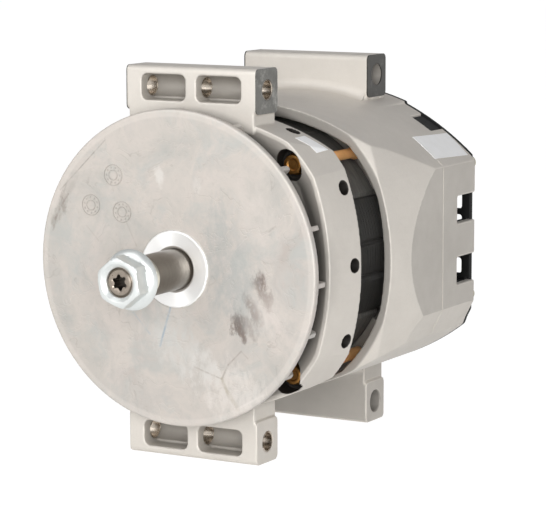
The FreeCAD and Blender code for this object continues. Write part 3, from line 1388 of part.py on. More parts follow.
def write_parts():
    DOCUMENT.recompute()
    for item in DOCUMENT.Objects:
        for word in ("Invalid", "Error"):
            if word in item.State:
                raise RuntimeError("%s is %s" % (item.Label, item.State))
    os.makedirs("parts", exist_ok=True)
    for node in NODES:
        shape = node.Shape
        if shape.isNull() or not shape.isValid():
            raise RuntimeError(node.Label + " has no valid shape")
        shape.exportStep("parts/%s.step" % node.Label)
        print(node.Label, len(shape.Solids), round(shape.Volume))


make_shaft()
make_shaft_nut()
make_fan()
make_fan_spacer()
make_bearings()
make_rotor_core()
make_pole_wheels()
make_front_housing()
make_front_lug_bushings()
make_bearing_retainer()
make_stator()
make_through_bolts()
make_rear_housing()
make_field_coil()
make_rectifier()
make_regulator()
make_terminals()
make_rear_cover()
write_parts()
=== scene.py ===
import json
import math

import bmesh
import bpy
import numpy as np
from mathutils import Matrix, Vector
from mathutils.bvhtree import BVHTree
from mathutils.kdtree import KDTree


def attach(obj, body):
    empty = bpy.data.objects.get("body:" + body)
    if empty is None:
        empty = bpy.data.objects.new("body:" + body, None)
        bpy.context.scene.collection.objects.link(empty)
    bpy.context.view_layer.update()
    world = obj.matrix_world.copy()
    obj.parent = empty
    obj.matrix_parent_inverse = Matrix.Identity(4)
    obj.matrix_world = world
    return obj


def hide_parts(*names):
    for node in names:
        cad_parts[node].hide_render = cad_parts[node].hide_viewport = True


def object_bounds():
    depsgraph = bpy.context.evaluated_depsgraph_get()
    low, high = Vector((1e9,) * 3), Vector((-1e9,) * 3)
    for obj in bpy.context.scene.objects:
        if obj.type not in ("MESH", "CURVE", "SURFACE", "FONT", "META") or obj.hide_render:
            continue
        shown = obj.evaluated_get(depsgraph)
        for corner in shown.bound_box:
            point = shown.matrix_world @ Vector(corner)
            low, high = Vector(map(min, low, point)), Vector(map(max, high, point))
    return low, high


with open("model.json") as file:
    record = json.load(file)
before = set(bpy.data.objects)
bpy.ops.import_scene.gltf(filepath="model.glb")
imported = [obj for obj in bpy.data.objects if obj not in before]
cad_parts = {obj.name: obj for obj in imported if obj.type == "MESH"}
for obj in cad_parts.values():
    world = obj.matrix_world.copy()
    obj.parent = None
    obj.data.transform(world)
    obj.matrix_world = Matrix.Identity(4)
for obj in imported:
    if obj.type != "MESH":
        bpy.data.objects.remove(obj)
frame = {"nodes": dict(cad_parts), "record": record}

# A heavy-duty alternator. Metres, with the shaft along Y, the pulley end at minus Y and Z up.
# The castings and the turned parts get rounded edges and fine surfaces over the fixed solids.

MM = 0.001
CAD_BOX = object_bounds()

# Marks on the front of the fan disc, in mm across and up from the shaft: the middle, half sizes,
# turn in degrees, strength and colour of each stain, and the ends, half width, strength and colour
# of each line.
DISC_STAINS = [
    ((43.5, -27), (6, 9), 35, 0.6, (0.34, 0.28, 0.25)),
    ((37.5, -26.5), (4.6, 6), -35, 1, (0.13, 0.085, 0.065)),
    ((41, -31), (2.2, 5.5), 25, 0.9, (0.16, 0.105, 0.08)),
    ((48, -18), (3.4, 9), 32, 0.85, (0.22, 0.165, 0.14)),
    ((54.5, -8), (4.8, 10), 28, 0.95, (0.19, 0.14, 0.12)),
    ((57, -19), (9, 14), 30, 0.45, (0.8, 0.76, 0.73)),
    ((-73, 28), (3.6, 10), -25, 0.65, (0.33, 0.3, 0.27)),
    ((-67, 40), (2.6, 9), -32, 0.35, (0.42, 0.4, 0.37)),
    ((38, -66), (30, 15), -30, 0.55, (0.84, 0.82, 0.79)),
    ((34, 3), (15, 34), 10, 0.55, (0.46, 0.49, 0.49)),
    ((-9, 49), (2.6, 6), 20, 0.55, (0.84, 0.84, 0.82)),
    ((14, 46), (2.4, 5), 5, 0.35, (0.8, 0.81, 0.79)),
    ((50, 30), (14, 16), 0, 0.4, (0.74, 0.71, 0.68)),
    ((8, -47), (22, 12), -25, 0.45, (0.72, 0.74, 0.73)),
    ((-2, -32), (16, 9), 10, 0.4, (0.6, 0.635, 0.63)),
]
FAN_TONE = (0.84, 0.808, 0.782)
DISC_LINES = [
    ((-76.5, 22), (-71.5, 31), 0.6, 0.5, (0.26, 0.23, 0.21)),
    ((-71.5, 31), (-67.5, 36.5), 0.5, 0.5, (0.28, 0.25, 0.23)),
    ((-1.9, -18.4), (-9.5, -42.5), 0.55, 0.75, (0.33, 0.44, 0.55)),
    ((-26.5, -25.4), (-15.8, -36.5), 0.45, 0.4, (0.42, 0.5, 0.57)),
    ((-73, 38.3), (-43.4, 67.1), 0.35, 0.7, (0.34, 0.32, 0.29)),
    ((-78, 16), (-68, 44), 0.4, 0.45, (0.36, 0.34, 0.31)),
    ((12, -52), (29, -57), 0.4, 0.6, (0.42, 0.38, 0.34)),
    ((29, -57), (33, -49), 0.5, 0.65, (0.42, 0.39, 0.35)),
    ((33, -49), (41, -41), 0.4, 0.6, (0.38, 0.33, 0.3)),
    ((41, -41), (45, -44.5), 0.4, 0.55, (0.4, 0.36, 0.33)),
    ((29, -57), (32.5, -64), 0.9, 0.6, (0.5, 0.46, 0.38)),
    ((32.5, -64), (39, -72), 1.2, 0.5, (0.52, 0.48, 0.41)),
    ((39, -72), (55, -63), 0.5, 0.5, (0.84, 0.83, 0.81)),
    ((58, 24), (62, 27), 0.4, 0.5, (0.4, 0.37, 0.34)),
    ((-30, 23), (-24, 11), 0.4, 0.45, (0.42, 0.39, 0.35)),
    ((-22, 9), (-15, 5), 0.35, 0.4, (0.44, 0.41, 0.37)),
    ((-56, 20), (-48, 12), 0.4, 0.35, (0.45, 0.42, 0.38)),
]
# The three round marks that the casting tool leaves on the disc: middles in mm.
CAST_MARKS = [(-38.5, 48.4), (-52.9, 31.3), (-33.0, 28.7)]

# The camera looks at the object from the front right, a little from above.
CAMERA_PLACE = Vector((0.71474, -1.15789, 0.20436))
CAMERA_YAW = 0.5141
CAMERA_PITCH = 0.1433
CAMERA_ROLL = 0.0014
FOCAL_PIXELS = 2576.95
PICTURE_WIDTH = 546
SENSOR_WIDTH = 36.0

# Sizes and places of the pieces, in mm, as the solids have them.
SHAFT_END = -53.8
SHAFT_RADIUS = 11.1
SEAT_FRONT = -33.2
THREAD_RADIUS = 7.94
# The steps of the shaft from the front bearing on, as (y, radius).
SHAFT_STEPS = [(20.0, 12.5), (37.0, 12.5), (37.0, 15.0), (44.0, 15.0), (44.0, 12.0), (120.0, 12.0),
               (120.0, 10.3), (128.0, 10.3), (128.0, 8.5), (140.5, 8.5), (141.5, 7.5), (141.5, 0.0)]
NUT_FRONT = -55.4
NUT_BACK = -41.4
NUT_FLATS = 24.0
NUT_TURN = 39.0
NUT_FLANGE = 16.2
BOSS_RADIUS = 21.0
FAN_FACE = 0.8
PAD_END = 40.5
STATOR_RADIUS = 75.0
STATOR_BORE = 53.6
STATOR_FRONT = 44.0
STATOR_BACK = 108.0
STATOR_SLOTS = 36
SLOT_BOTTOM = 68.0
SLOT_HALF_WIDTH = 2.1
SHEET = 0.8
GROOVE_DEPTH = 1.1
GROOVE_HALF_WIDTH = 0.9
# Grooves along the outside of the stator, in degrees round the shaft from the right.
STATOR_GROOVES = [7.0, -7.5, -25.0, 27.0, 63.0, 97.0, 133.0, 155.0, 187.5, 205.0, 243.0, 277.0, 297.0]
PARTING_Y = 132.8
PARTING_HALF = 29.0
BARE_PANELS = [(27.0, 97.0), (205.0, 243.0), (297.0, 335.0)]
BOLT_CIRCLE = 80.68
BOLT_ANGLE = 44.55
STUD_RADIUS = 4.0
RELAY_STUD_RADIUS = 2.5
COVER_SCREW_RADIUS = 2.0
POCKET_RADIUS = 8.6
POCKET_FLOOR = 32.0
MOUTH_Y = 78.0
LUG_FRONT = 18.1
REAR_LUG_FRONT = 145.6
REAR_HOLE_Y = 157.1
HOLE_HEIGHT = 95.25
HOLE_RADIUS = 6.5
LUG_HALF_LENGTH = 39.0
COVE = 6.0
WINDOW_MIDDLE = 17.2
WINDOW_LENGTH = 27.6
WINDOW_HEIGHT = 14.2
RING_HOLE_FIRST = -24.9
RING_HOLE_STEP = 26.8
RING_HOLE_RADIUS = 3.7
RING_HOLE_Y = 41.0

# The floor: its gap below the lugs in mm, half its side in metres, and its own white light.
FLOOR_GAP = 0.1
FLOOR_HALF = 6.0
FLOOR_GLOW = 1.18
FLOOR_GLOW_SHARE = 0.82


def new_object(name, data):
    item = bpy.data.objects.new(name, data)
    bpy.context.scene.collection.objects.link(item)
    return item


def make_camera():
    yaw, pitch = CAMERA_YAW, CAMERA_PITCH
    level = math.cos(pitch)
    forward = Vector((-math.sin(yaw) * level, math.cos(yaw) * level, -math.sin(pitch)))
    right = Vector((math.cos(yaw), math.sin(yaw), 0))
    up = right.cross(forward)
    turn = Matrix.Rotation(CAMERA_ROLL, 3, forward)
    right, up = turn @ right, turn @ up
    data = bpy.data.cameras.new("camera")
    data.sensor_fit = "HORIZONTAL"
    data.sensor_width = SENSOR_WIDTH
    data.lens = FOCAL_PIXELS / PICTURE_WIDTH * SENSOR_WIDTH
    data.clip_start = 0.05
    data.clip_end = 20
    matrix = Matrix((right, up, -forward)).transposed().to_4x4()
    matrix.translation = CAMERA_PLACE
    camera = new_object("camera", data)
    camera.matrix_world = matrix
    bpy.context.scene.camera = camera


class Value:
    """The output of a shader node, to count with like a number."""

    def __init__(self, nodes, socket):
        self.nodes = nodes
        self.socket = socket

    def math(self, operation, *others):
        return self.nodes.add("Math", enumerate((self, *others)), operation=operation)

    def __add__(self, other):
        return self.math("ADD", other)

    def __sub__(self, other):
        return self.math("SUBTRACT", other)

    def __mul__(self, other):
        return self.math("MULTIPLY", other)

    def __gt__(self, other):
        return self.math("GREATER_THAN", other)

    def __lt__(self, other):
        return self.math("LESS_THAN", other)

    def __abs__(self):
        return self.math("ABSOLUTE")

    def spread(self, low, high, start=0.3, end=0.7):
        """The value moved from the span start to end onto the span low to high."""
        return self.nodes.add("MapRange", {"Value": self, "From Min": start, "From Max": end,
                                           "To Min": low, "To Max": high})

    def vector(self, operation, second=None, output="Vector"):
        inputs = {0: self} if second is None else {0: self, 1: second}
        return self.nodes.add("VectorMath", inputs, output, operation=operation)

    def shaded(self, level):
        """A colour or vector times a number."""
        return self.nodes.add("VectorMath", {0: self, "Scale": level}, operation="SCALE")

    def split(self):
        """The three parts of a vector."""
        return [self.nodes.add("SeparateXYZ", {"Vector": self}, axis) for axis in "XYZ"]


def length(first, second):
    return (first * first + second * second).math("SQRT")


class Nodes:
    """A node tree, with short calls for the nodes that the materials and the world share."""

    def __init__(self, tree):
        self.tree = tree

    def connect(self, socket, value):
        """Link a socket to a value, or set it to a number, vector or colour."""
        if isinstance(value, Value):
            self.tree.links.new(value.socket, socket)
        elif socket.type == "RGBA":
            socket.default_value = (*value, 1)
        else:
            socket.default_value = value

    def add(self, kind, inputs=(), output=0, **settings):
        """A new node with its settings and inputs. Returns one of its outputs."""
        node = self.tree.nodes.new("ShaderNode" + kind)
        for key, value in settings.items():
            setattr(node, key, value)
        for key, value in dict(inputs).items():
            self.connect(node.inputs[key], value)
        return Value(self, node.outputs[output])

    def ray(self, kind):
        return self.add("LightPath", output="Is %s Ray" % kind)

    def ramp(self, value, stops):
        """A colour ramp through stops of (place, colour)."""
        result = self.add("ValToRGB", {"Fac": value})
        elements = result.socket.node.color_ramp.elements
        while len(elements) < len(stops):
            elements.new(0.5)
        for element, (place, colour) in zip(elements, stops):
            element.position = place
            element.color = (*colour, 1)
        return result

    def mix(self, share, first, second):
        return self.add("Mix", {0: share, 6: first, 7: second}, 2, data_type="RGBA")


class Paint(Nodes):
    """A material with one Principled shader, and the nodes that feed it."""

    def __init__(self, name, metallic=0.0):
        self.material = bpy.data.materials.new(name)
        self.material.use_nodes = True
        super().__init__(self.material.node_tree)
        self.shader = self.tree.nodes["Principled BSDF"]
        self.shader.inputs["Metallic"].default_value = metallic
        self.place = self.add("TexCoord", output="Object")

    def facing(self):
        """The three parts of the surface normal."""
        return self.add("TexCoord", output="Normal").split()

    def sized_place(self):
        """The three parts of the place in mm."""
        return [part * (1 / MM) for part in self.place.split()]

    def from_shaft(self):
        """The distance from the shaft axis in mm."""
        x, _, z = self.sized_place()
        return length(x, z)

    def noise(self, scale, detail=4.0, roughness=0.55, place=None):
        return self.add("TexNoise", {"Vector": place or self.place, "Scale": scale, "Detail": detail,
                                     "Roughness": roughness})

    def finish(self, colour, roughness, height, depth):
        """Link the colour, the roughness, and a height that stands for a depth in metres."""
        relief = self.add("Bump", {"Height": height, "Distance": depth, "Strength": 1.0})
        for key, value in (("Base Color", colour), ("Roughness", roughness), ("Normal", relief)):
            self.connect(self.shader.inputs[key], value)
        return self.material


def scaled(colour, factor):
    return tuple(min(1.0, channel * factor) for channel in colour)


def disc_offset(paint, start):
    """From a point on the front of the disc, in mm across and up."""
    flat = paint.place.vector("MULTIPLY", (1 / MM, 0, 1 / MM))
    return flat.vector("SUBTRACT", (start[0], 0, start[1]))


def ellipse_mask(paint, middle, radii, turn, soft=0.45):
    """1 inside an ellipse on the front of the disc, fading to 0 outside. Middle and radii in mm."""
    turned = paint.add("VectorRotate", {"Vector": disc_offset(paint, middle),
                                        "Angle": math.radians(turn)}, rotation_type="Y_AXIS")
    reach = turned.vector("DIVIDE", (radii[0], 1, radii[1])).vector("LENGTH", output="Value")
    return reach.spread(1.0, 0.0, 1 - soft, 1 + soft)


def line_mask(paint, start, end, width, soft=0.5):
    """1 along a line on the front of the disc, fading to 0 beside it. All in mm."""
    from_start = disc_offset(paint, start)
    along = Vector((end[0] - start[0], 0, end[1] - start[1]))
    share = from_start.vector("DOT_PRODUCT", along / along.length_squared, "Value")
    held = paint.add("Clamp", {"Value": share})
    nearest = paint.add("VectorMath", {0: tuple(along), "Scale": held}, operation="SCALE")
    reach = from_start.vector("SUBTRACT", nearest).vector("LENGTH", output="Value")
    return reach.spread(1.0, 0.0, width * (1 - soft), width * (1 + soft))


def bolt_places():
    angle = math.radians(BOLT_ANGLE)
    x, z = BOLT_CIRCLE * math.cos(angle), BOLT_CIRCLE * math.sin(angle)
    return [(x, z), (-x, z), (x, -z), (-x, -z)]


def recess_shade_mask(paint):
    """Where painted shade goes: 1 inside the bolt pockets and the radial holes of the front housing, 0
    elsewhere.
    """
    x, y, z = paint.sized_place()
    x = abs(x)
    bolt_x, bolt_z = bolt_places()[0]
    from_bolt = length(x - bolt_x, abs(z) - bolt_z)
    pocket = from_bolt.spread(1.0, 0.0, POCKET_RADIUS + 0.1, POCKET_RADIUS + 0.5)
    pocket = pocket * y.spread(1.0, 0.0, POCKET_FLOOR + 0.3, POCKET_FLOOR + 0.7)
    turn = z.math("ARCTAN2", x) * (180 / math.pi)
    local = (turn - (RING_HOLE_FIRST - RING_HOLE_STEP / 2)).math("FLOORED_MODULO", RING_HOLE_STEP)
    across = (local - RING_HOLE_STEP / 2) * (math.pi / 180) * length(x, z)
    from_hole = length(across, y - RING_HOLE_Y)
    hole = from_hole.spread(1.0, 0.0, RING_HOLE_RADIUS + 0.2, RING_HOLE_RADIUS + 0.5)
    middle = RING_HOLE_FIRST + 1.5 * RING_HOLE_STEP
    hole = hole * (abs(turn - middle) < 2 * RING_HOLE_STEP)
    return pocket.math("MAXIMUM", hole)


def painted_shade_level(paint, level, low, high):
    """Painted shade on a casting: darker near the shaft, on the rear mouth, on the front faces of the
    rear lugs, in the rear lug holes and deep in the lug windows.
    """
    x, y, z = paint.sized_place()
    core = length(x, z).spread(level, 1.0, low, high)
    forward = paint.facing()[1].spread(1.0, 0.0, -0.95, -0.75)
    at_mouth = (y > MOUTH_Y - 1) * (y < MOUTH_Y + 2)
    lip = (forward * at_mouth).spread(1.0, 0.62, 0, 1)
    on_lug = (y > REAR_LUG_FRONT - COVE) * (y < REAR_LUG_FRONT + 1)
    lip = lip - z.spread(0.34, 0.08, -90, 90) * (forward * on_lug)
    off_hole = length(y - REAR_HOLE_Y, abs(z) - HOLE_HEIGHT)
    lip = lip * off_hole.spread(0.55, 1.0, HOLE_RADIUS, HOLE_RADIUS + 0.6)
    beside = abs(abs(x) - WINDOW_MIDDLE) < WINDOW_LENGTH / 2 + 0.5
    above = abs(abs(z) - HOLE_HEIGHT) < WINDOW_HEIGHT / 2 + 0.5
    inside = beside * above * (y < MOUTH_Y)
    depth = y.spread(0.0, 1.0, LUG_FRONT + 0.4, LUG_FRONT + 9.0)
    return core * lip * (inside * depth).spread(1.0, 0.64, 0, 1)


def cast_metal(name, colour, roughness=0.58, mottle=0.04, grain=0.00006, metallic=0.40,
               shaded_recesses=False, side_shade=1.0, inner=None):
    """Cast or blasted aluminium: broad mottling and a fine grain, with painted shade where light falls
    short.
    """
    paint = Paint(name, metallic)
    patches = paint.ramp(paint.noise(26.0, 5.0, 0.6), [
        (0.32, scaled(colour, 1 - mottle)), (0.5, colour), (0.68, scaled(colour, 1 + mottle))])
    mixed = paint.mix(paint.noise(900.0, 2.0).spread(0.0, 0.10), patches, scaled(colour, 0.82))
    # Painted shade: faces that point straight to the sides are darker.
    if side_shade < 1:
        mixed = mixed.shaded(abs(paint.facing()[0]).spread(1.0, side_shade, 0.975, 0.993))
    if inner:
        # Painted shade near the shaft, on the rear mouth and lugs, and in the lug windows.
        mixed = mixed.shaded(painted_shade_level(paint, *inner))
    if shaded_recesses:
        # Painted shade: the walls of the bolt pockets and radial holes are near black.
        mixed = paint.mix(recess_shade_mask(paint), mixed, (0.022, 0.019, 0.016))
    rough = paint.noise(140.0, 3.0).spread(roughness - 0.07, roughness + 0.07)
    height = paint.noise(2600.0, 2.0) + paint.noise(2600.0 / 9, 3.0) * 1.6
    return paint.finish(mixed, rough, height, grain)


def fan_metal(name, shade_of=1.0):
    """The cast fan: flowing grey and warm patches, thin cold flow lines, stains and scratches."""
    paint = Paint(name, 0.25)
    drift = paint.add("TexNoise", {"Vector": paint.place, "Scale": 22.0, "Detail": 3.0}, "Color")
    flow = paint.place.vector("ADD", drift.vector("SUBTRACT", (0.5, 0.5, 0.5)).shaded(0.045))
    broad = paint.noise(21.0, 6.0, 0.62, flow)
    mixed = paint.ramp(broad, [
        (0.30, (0.50, 0.51, 0.495)), (0.43, (0.60, 0.585, 0.555)), (0.52, (0.665, 0.635, 0.60)),
        (0.60, (0.60, 0.585, 0.56)), (0.72, (0.56, 0.52, 0.49))])
    cool = paint.noise(37.0, 5.0, 0.7, flow).spread(0.0, 0.7, 0.50, 0.66)
    mixed = paint.mix(cool, mixed, (0.53, 0.56, 0.55))
    warm = paint.noise(52.0, 6.0, 0.75, flow).spread(0.0, 0.55, 0.54, 0.70)
    mixed = paint.mix(warm, mixed, (0.72, 0.67, 0.64))
    vein = abs(paint.noise(34.0, 4.0, 0.6, flow) - 0.5).spread(1.0, 0.0, 0.0, 0.012)
    broken = paint.noise(60.0, 3.0).spread(0.0, 0.42, 0.50, 0.66)
    mixed = paint.mix(vein * broken, mixed, (0.36, 0.33, 0.30))
    speckle = paint.noise(420.0, 4.0, 0.7).spread(0.0, 0.35, 0.56, 0.8)
    mixed = paint.mix(speckle, mixed, (0.44, 0.42, 0.39))
    stretched = paint.place.vector("MULTIPLY", (1.5, 1, 0.8))
    ragged = (paint.noise(105.0, 8.0, 0.74, stretched) - 0.5) * 5.0
    for middle, radii, turn, strength, colour in DISC_STAINS:
        mask = ellipse_mask(paint, middle, radii, turn)
        share = (mask + ragged).spread(0.0, strength, 0.30, 1.20) * mask.spread(0.0, 1.0, 0.0, 0.35)
        mixed = paint.mix(share, mixed, colour)
    scratchy = paint.noise(330.0, 3.0)
    for start, end, width, strength, colour in DISC_LINES:
        broken = scratchy.spread(0.35 * strength, strength, 0.35, 0.6)
        mixed = paint.mix(line_mask(paint, start, end, width) * broken, mixed, colour)
    mixed = paint.mix(paint.from_shaft().spread(0.0, 0.30, 81.0, 82.0), mixed, (0.84, 0.81, 0.77))
    mixed = mixed.vector("MULTIPLY", scaled(FAN_TONE, shade_of))
    height = paint.noise(1800.0, 2.0) * 0.12 + paint.noise(120.0, 5.0, 0.6, flow) - vein * 0.35
    return paint.finish(mixed, broad.spread(0.42, 0.6), height, 0.00022)


def turned_metal(name, colour, roughness, groove=0.00002, metallic=1.0, along=False, anisotropic=0.0):
    """Turned or ground metal: fine rings round the shaft axis, or lines along it."""
    paint = Paint(name, metallic)
    if anisotropic:
        paint.shader.inputs["Anisotropic"].default_value = anisotropic
        tangent = paint.add("Tangent", direction_type="RADIAL", axis="Y")
        paint.connect(paint.shader.inputs["Tangent"], tangent)
    measure = paint.sized_place()[1] if along else paint.from_shaft()
    lines = paint.add("TexNoise", {"W": measure * 4.2, "Scale": 1.0, "Detail": 3.0},
                      noise_dimensions="1D")
    mixed = paint.mix(lines.spread(0.0, 1.0) * 0.35, colour, scaled(colour, 0.72))
    mixed = paint.mix(paint.noise(60.0, 4.0).spread(0.0, 0.3), mixed, scaled(colour, 0.8))
    return paint.finish(mixed, lines.spread(roughness - 0.06, roughness + 0.08), lines, groove)


def milled_metal(name, colour, roughness):
    """Milled faces: fine curved tool marks, scuffs and a smoother surface, in a near-black colour that
    is a painted dark reflection.
    """
    paint = Paint(name, 1.0)
    waves = paint.add("TexWave", {"Vector": paint.place, "Scale": 420.0, "Distortion": 3.5,
                                  "Detail": 2.0, "Detail Scale": 1.2}, "Fac",
                      wave_type="BANDS", bands_direction="Z")
    clouds = paint.noise(120.0, 5.0, 0.65)
    mixed = paint.mix(clouds.spread(0.0, 1.0), scaled(colour, 0.72), scaled(colour, 1.30))
    scuffs = paint.noise(95.0, 6.0, 0.72).spread(0.0, 0.6, 0.53, 0.66)
    mixed = paint.mix(scuffs, mixed, scaled(colour, 2.4))
    rough = clouds.spread(roughness - 0.08, roughness + 0.1)
    return paint.finish(mixed, rough, waves + clouds, 0.000012)


def plated_metal(name, colour, roughness, blotch=0.25, blotch_colour=None, grain=0.000015, metallic=1.0):
    """Plated steel: small clouds in colour and gloss, and a faint grain."""
    paint = Paint(name, metallic)
    share = paint.noise(240.0, 4.0).spread(0.0, blotch)
    mixed = paint.mix(share, colour, blotch_colour or scaled(colour, 0.6))
    fine = paint.noise(1700.0, 3.0)
    return paint.finish(mixed, fine.spread(roughness - 0.05, roughness + 0.12), fine, grain)


def plastic(name, colour, roughness, dust=0.05):
    """Moulded plastic with a fine spark-eroded grain and a little dust."""
    paint = Paint(name)
    paint.shader.inputs["Specular IOR Level"].default_value = 0.22
    clouds = paint.noise(70.0, 5.0, 0.65)
    dusty = tuple(channel + dust for channel in colour)
    mixed = paint.mix(clouds.spread(0.0, 0.6), colour, dusty)
    rough = clouds.spread(roughness - 0.06, roughness + 0.08)
    return paint.finish(mixed, rough, paint.noise(3200.0, 2.0), 0.00003)


def laminated_steel(name, lift):
    """Black lacquered sheet stack: each sheet differs a little, with bare edges here and there."""
    paint = Paint(name, 0.35)
    sheet = paint.sized_place()[1].math("FLOOR")
    tone = paint.add("TexWhiteNoise", {"W": sheet}, "Value", noise_dimensions="1D")
    place = paint.place.vector("MULTIPLY", (1, 6, 1))
    clouds = paint.noise(60.0, 5.0, 0.65, place)
    mixed = paint.mix(tone, scaled((0.034, 0.034, 0.031), lift), scaled((0.060, 0.058, 0.053), lift))
    bare = scaled((0.115, 0.108, 0.096), lift)
    mixed = paint.mix(clouds.spread(0.0, 0.7, 0.42, 0.72), mixed, bare)
    return paint.finish(mixed, clouds.spread(0.35, 0.6), paint.noise(900.0, 3.0, place=place), 0.00003)


def copper_wire(name):
    """Enamelled copper with its varnish: dark amber over copper, glossy."""
    paint = Paint(name, 0.8)
    paint.shader.inputs["Coat Weight"].default_value = 0.5
    clouds = paint.noise(150.0, 4.0).spread(0.0, 1.0)
    mixed = paint.mix(clouds, (0.42, 0.15, 0.05), (0.62, 0.28, 0.11))
    return paint.finish(mixed, 0.3, paint.noise(800.0, 2.0), 0.00004)


def paper_label(name):
    """Blank white vinyl with a faint waviness and faint clouds in its white."""
    paint = Paint(name)
    clouds = paint.noise(180.0, 4.0)
    mixed = paint.mix(clouds.spread(0.0, 1.0), (0.93, 0.93, 0.925), (0.98, 0.98, 0.98))
    return paint.finish(mixed, 0.38, clouds, 0.00003)


def make_materials():
    housing = (0.68, 0.64, 0.585)
    return {
        "housing": cast_metal("blasted_aluminium", housing),
        # Painted shade in the pockets and holes, near the shaft and deep in the lug windows.
        "front_housing": cast_metal("blasted_front", housing, shaded_recesses=True, inner=(0.38, 77, 86)),
        # Painted shade on faces that point to the sides, near the shaft, on the mouth and on the lug
        # faces.
        "rear_housing": cast_metal("blasted_rear", housing, side_shade=0.80, inner=(0.45, 80, 83)),
        "fan": fan_metal("fan_casting"),
        # Painted shade: a darker copy of the fan paint for the cast marks.
        "fan_mark_shaded": fan_metal("fan_casting_marks_shaded", 0.87),
        "boss": turned_metal("turned_boss", (0.95, 0.94, 0.92), 0.34, 0.000006, 0.7, anisotropic=0.9),
        "machined": turned_metal("machined_aluminium", (0.80, 0.79, 0.77), 0.30),
        # Painted reflection: the milled colours are near black for a dark reflection, the rear copy
        # darker still.
        "milled": milled_metal("milled_aluminium", (0.175, 0.172, 0.16), 0.36),
        "milled_dark_reflection": milled_metal("milled_aluminium_dark_reflection", (0.075, 0.073, 0.068), 0.38),
        "shaft": turned_metal("shaft_steel", (0.24, 0.22, 0.195), 0.27, along=True),
        "chamfer": turned_metal("shaft_chamfer", (0.72, 0.68, 0.58), 0.28, along=True),
        "shaft_end": plated_metal("shaft_end_steel", (0.36, 0.31, 0.26), 0.30, 0.4, (0.22, 0.18, 0.15)),
        # Painted shade: near-black steel for the walls of the shaft's socket.
        "socket": plated_metal("socket_steel_shaded", (0.10, 0.09, 0.08), 0.35, 0.3, (0.05, 0.045, 0.04)),
        "sleeve": plated_metal("sleeve_steel", (0.55, 0.49, 0.42), 0.22, 0.35, (0.36, 0.31, 0.26)),
        "zinc": plated_metal("bright_zinc", (0.74, 0.76, 0.745), 0.36, 0.3, (0.60, 0.65, 0.655),
                             0.000004, 0.72),
        "gold_zinc": plated_metal("yellow_zinc", (1.0, 0.54, 0.22), 0.34, 0.4, (0.80, 0.40, 0.15),
                                  metallic=0.4),
        "amber_zinc": plated_metal("amber_zinc", (0.50, 0.25, 0.07), 0.36, 0.5, (0.28, 0.13, 0.04)),
        "olive_zinc": plated_metal("olive_zinc", (0.36, 0.34, 0.22), 0.35, 0.5, (0.22, 0.20, 0.13)),
        "stud": plated_metal("stud_plating", (0.70, 0.62, 0.42), 0.28, 0.4, (0.5, 0.42, 0.25)),
        "steel": plated_metal("polished_steel", (0.62, 0.62, 0.62), 0.18, 0.2),
        "iron": cast_metal("forged_iron", (0.16, 0.16, 0.16), 0.5, 0.2, 0.0001, 0.85),
        "lamination": laminated_steel("laminated_steel", 0.6),
        "lamination_bare": laminated_steel("laminated_steel_bare", 2.0),
        "copper": copper_wire("varnished_copper"),
        "liner": plastic("slot_liner", (0.02, 0.20, 0.14), 0.45),
        "plastic": plastic("black_plastic", (0.006, 0.006, 0.006), 0.50, dust=0.006),
        "bobbin": plastic("bobbin_plastic", (0.62, 0.56, 0.40), 0.5),
        "rubber": plastic("seal_rubber", (0.03, 0.03, 0.03), 0.6),
        "label": paper_label("white_label"),
    }


MATERIALS = make_materials()

# The nodes of each finish, before the scene's own pieces take the place of some of them.
FINISHES = {
    "shaft": ["shaft"],
    "fan": ["fan"],
    "front_housing": ["front_housing"],
    "rear_housing": ["rear_housing"],
    "zinc": ["shaft_nut", "fan_spacer", "front_lug_bushings", "bearing_retainer"],
    "gold_zinc": ["through_bolts"],
    "olive_zinc": ["retainer_screws", "support_screws", "rectifier_screws", "regulator_screws",
                   "cover_screws"],
    "stud": ["relay_stud", "output_stud", "earth_stud", "stud_nuts"],
    "steel": ["%s_bearing_%s" % (end, part) for end in ("front", "rear")
              for part in ("inner", "outer", "balls", "cage")]
             + ["pole_joining_ring", "earthed_diodes", "insulated_diodes"],
    "iron": ["rotor_core", "pole_wheel_front", "pole_wheel_rear", "coil_support"],
    "lamination": ["stator_core"],
    "copper": ["stator_winding", "field_coil"],
    "machined": ["heat_sink_earthed", "heat_sink_insulated"],
    "liner": ["slot_liners"],
    "bobbin": ["coil_bobbin", "rectifier_insulators"],
    "plastic": ["regulator", "stud_bushings", "rear_cover"],
    "rubber": ["front_bearing_seals", "rear_bearing_seals"],
}


def finish_nodes():
    for finish, names in FINISHES.items():
        for name in names:
            data = frame["nodes"][name].data
            data.materials.clear()
            data.materials.append(MATERIALS[finish])


def add_piece(name, mesh, node, finishes, replace=True):
    """A piece that moves with a node, and takes its place unless told otherwise."""
    item = new_object(name, mesh)
    for finish in finishes:
        item.data.materials.append(MATERIALS[finish])
    bodies = frame["record"]["behaviour"]["bodies"]
    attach(item, next(body for body, members in bodies.items() if node in members))
    if replace:
        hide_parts(node)
    return item


def opened(mesh):
    work = bmesh.new()
    work.from_mesh(mesh)
    return work


def mesh_from(name, vertices, faces, smooth_angle=40.0):
    mesh = bpy.data.meshes.new(name)
    mesh.from_pydata(vertices, [], faces)
    mesh.validate()
    work = opened(mesh)
    bmesh.ops.remove_doubles(work, verts=work.verts, dist=1e-7)
    bmesh.ops.recalc_face_normals(work, faces=work.faces)
    work.to_mesh(mesh)
    work.free()
    shade(mesh, smooth_angle)
    return mesh


def shade(mesh, smooth_angle):
    """Smooth shading, with sharp edges where the surface turns by more than an angle."""
    mesh.polygons.foreach_set("use_smooth", [True] * len(mesh.polygons))
    mesh.set_sharp_from_angle(angle=math.radians(smooth_angle))
    mesh.update()


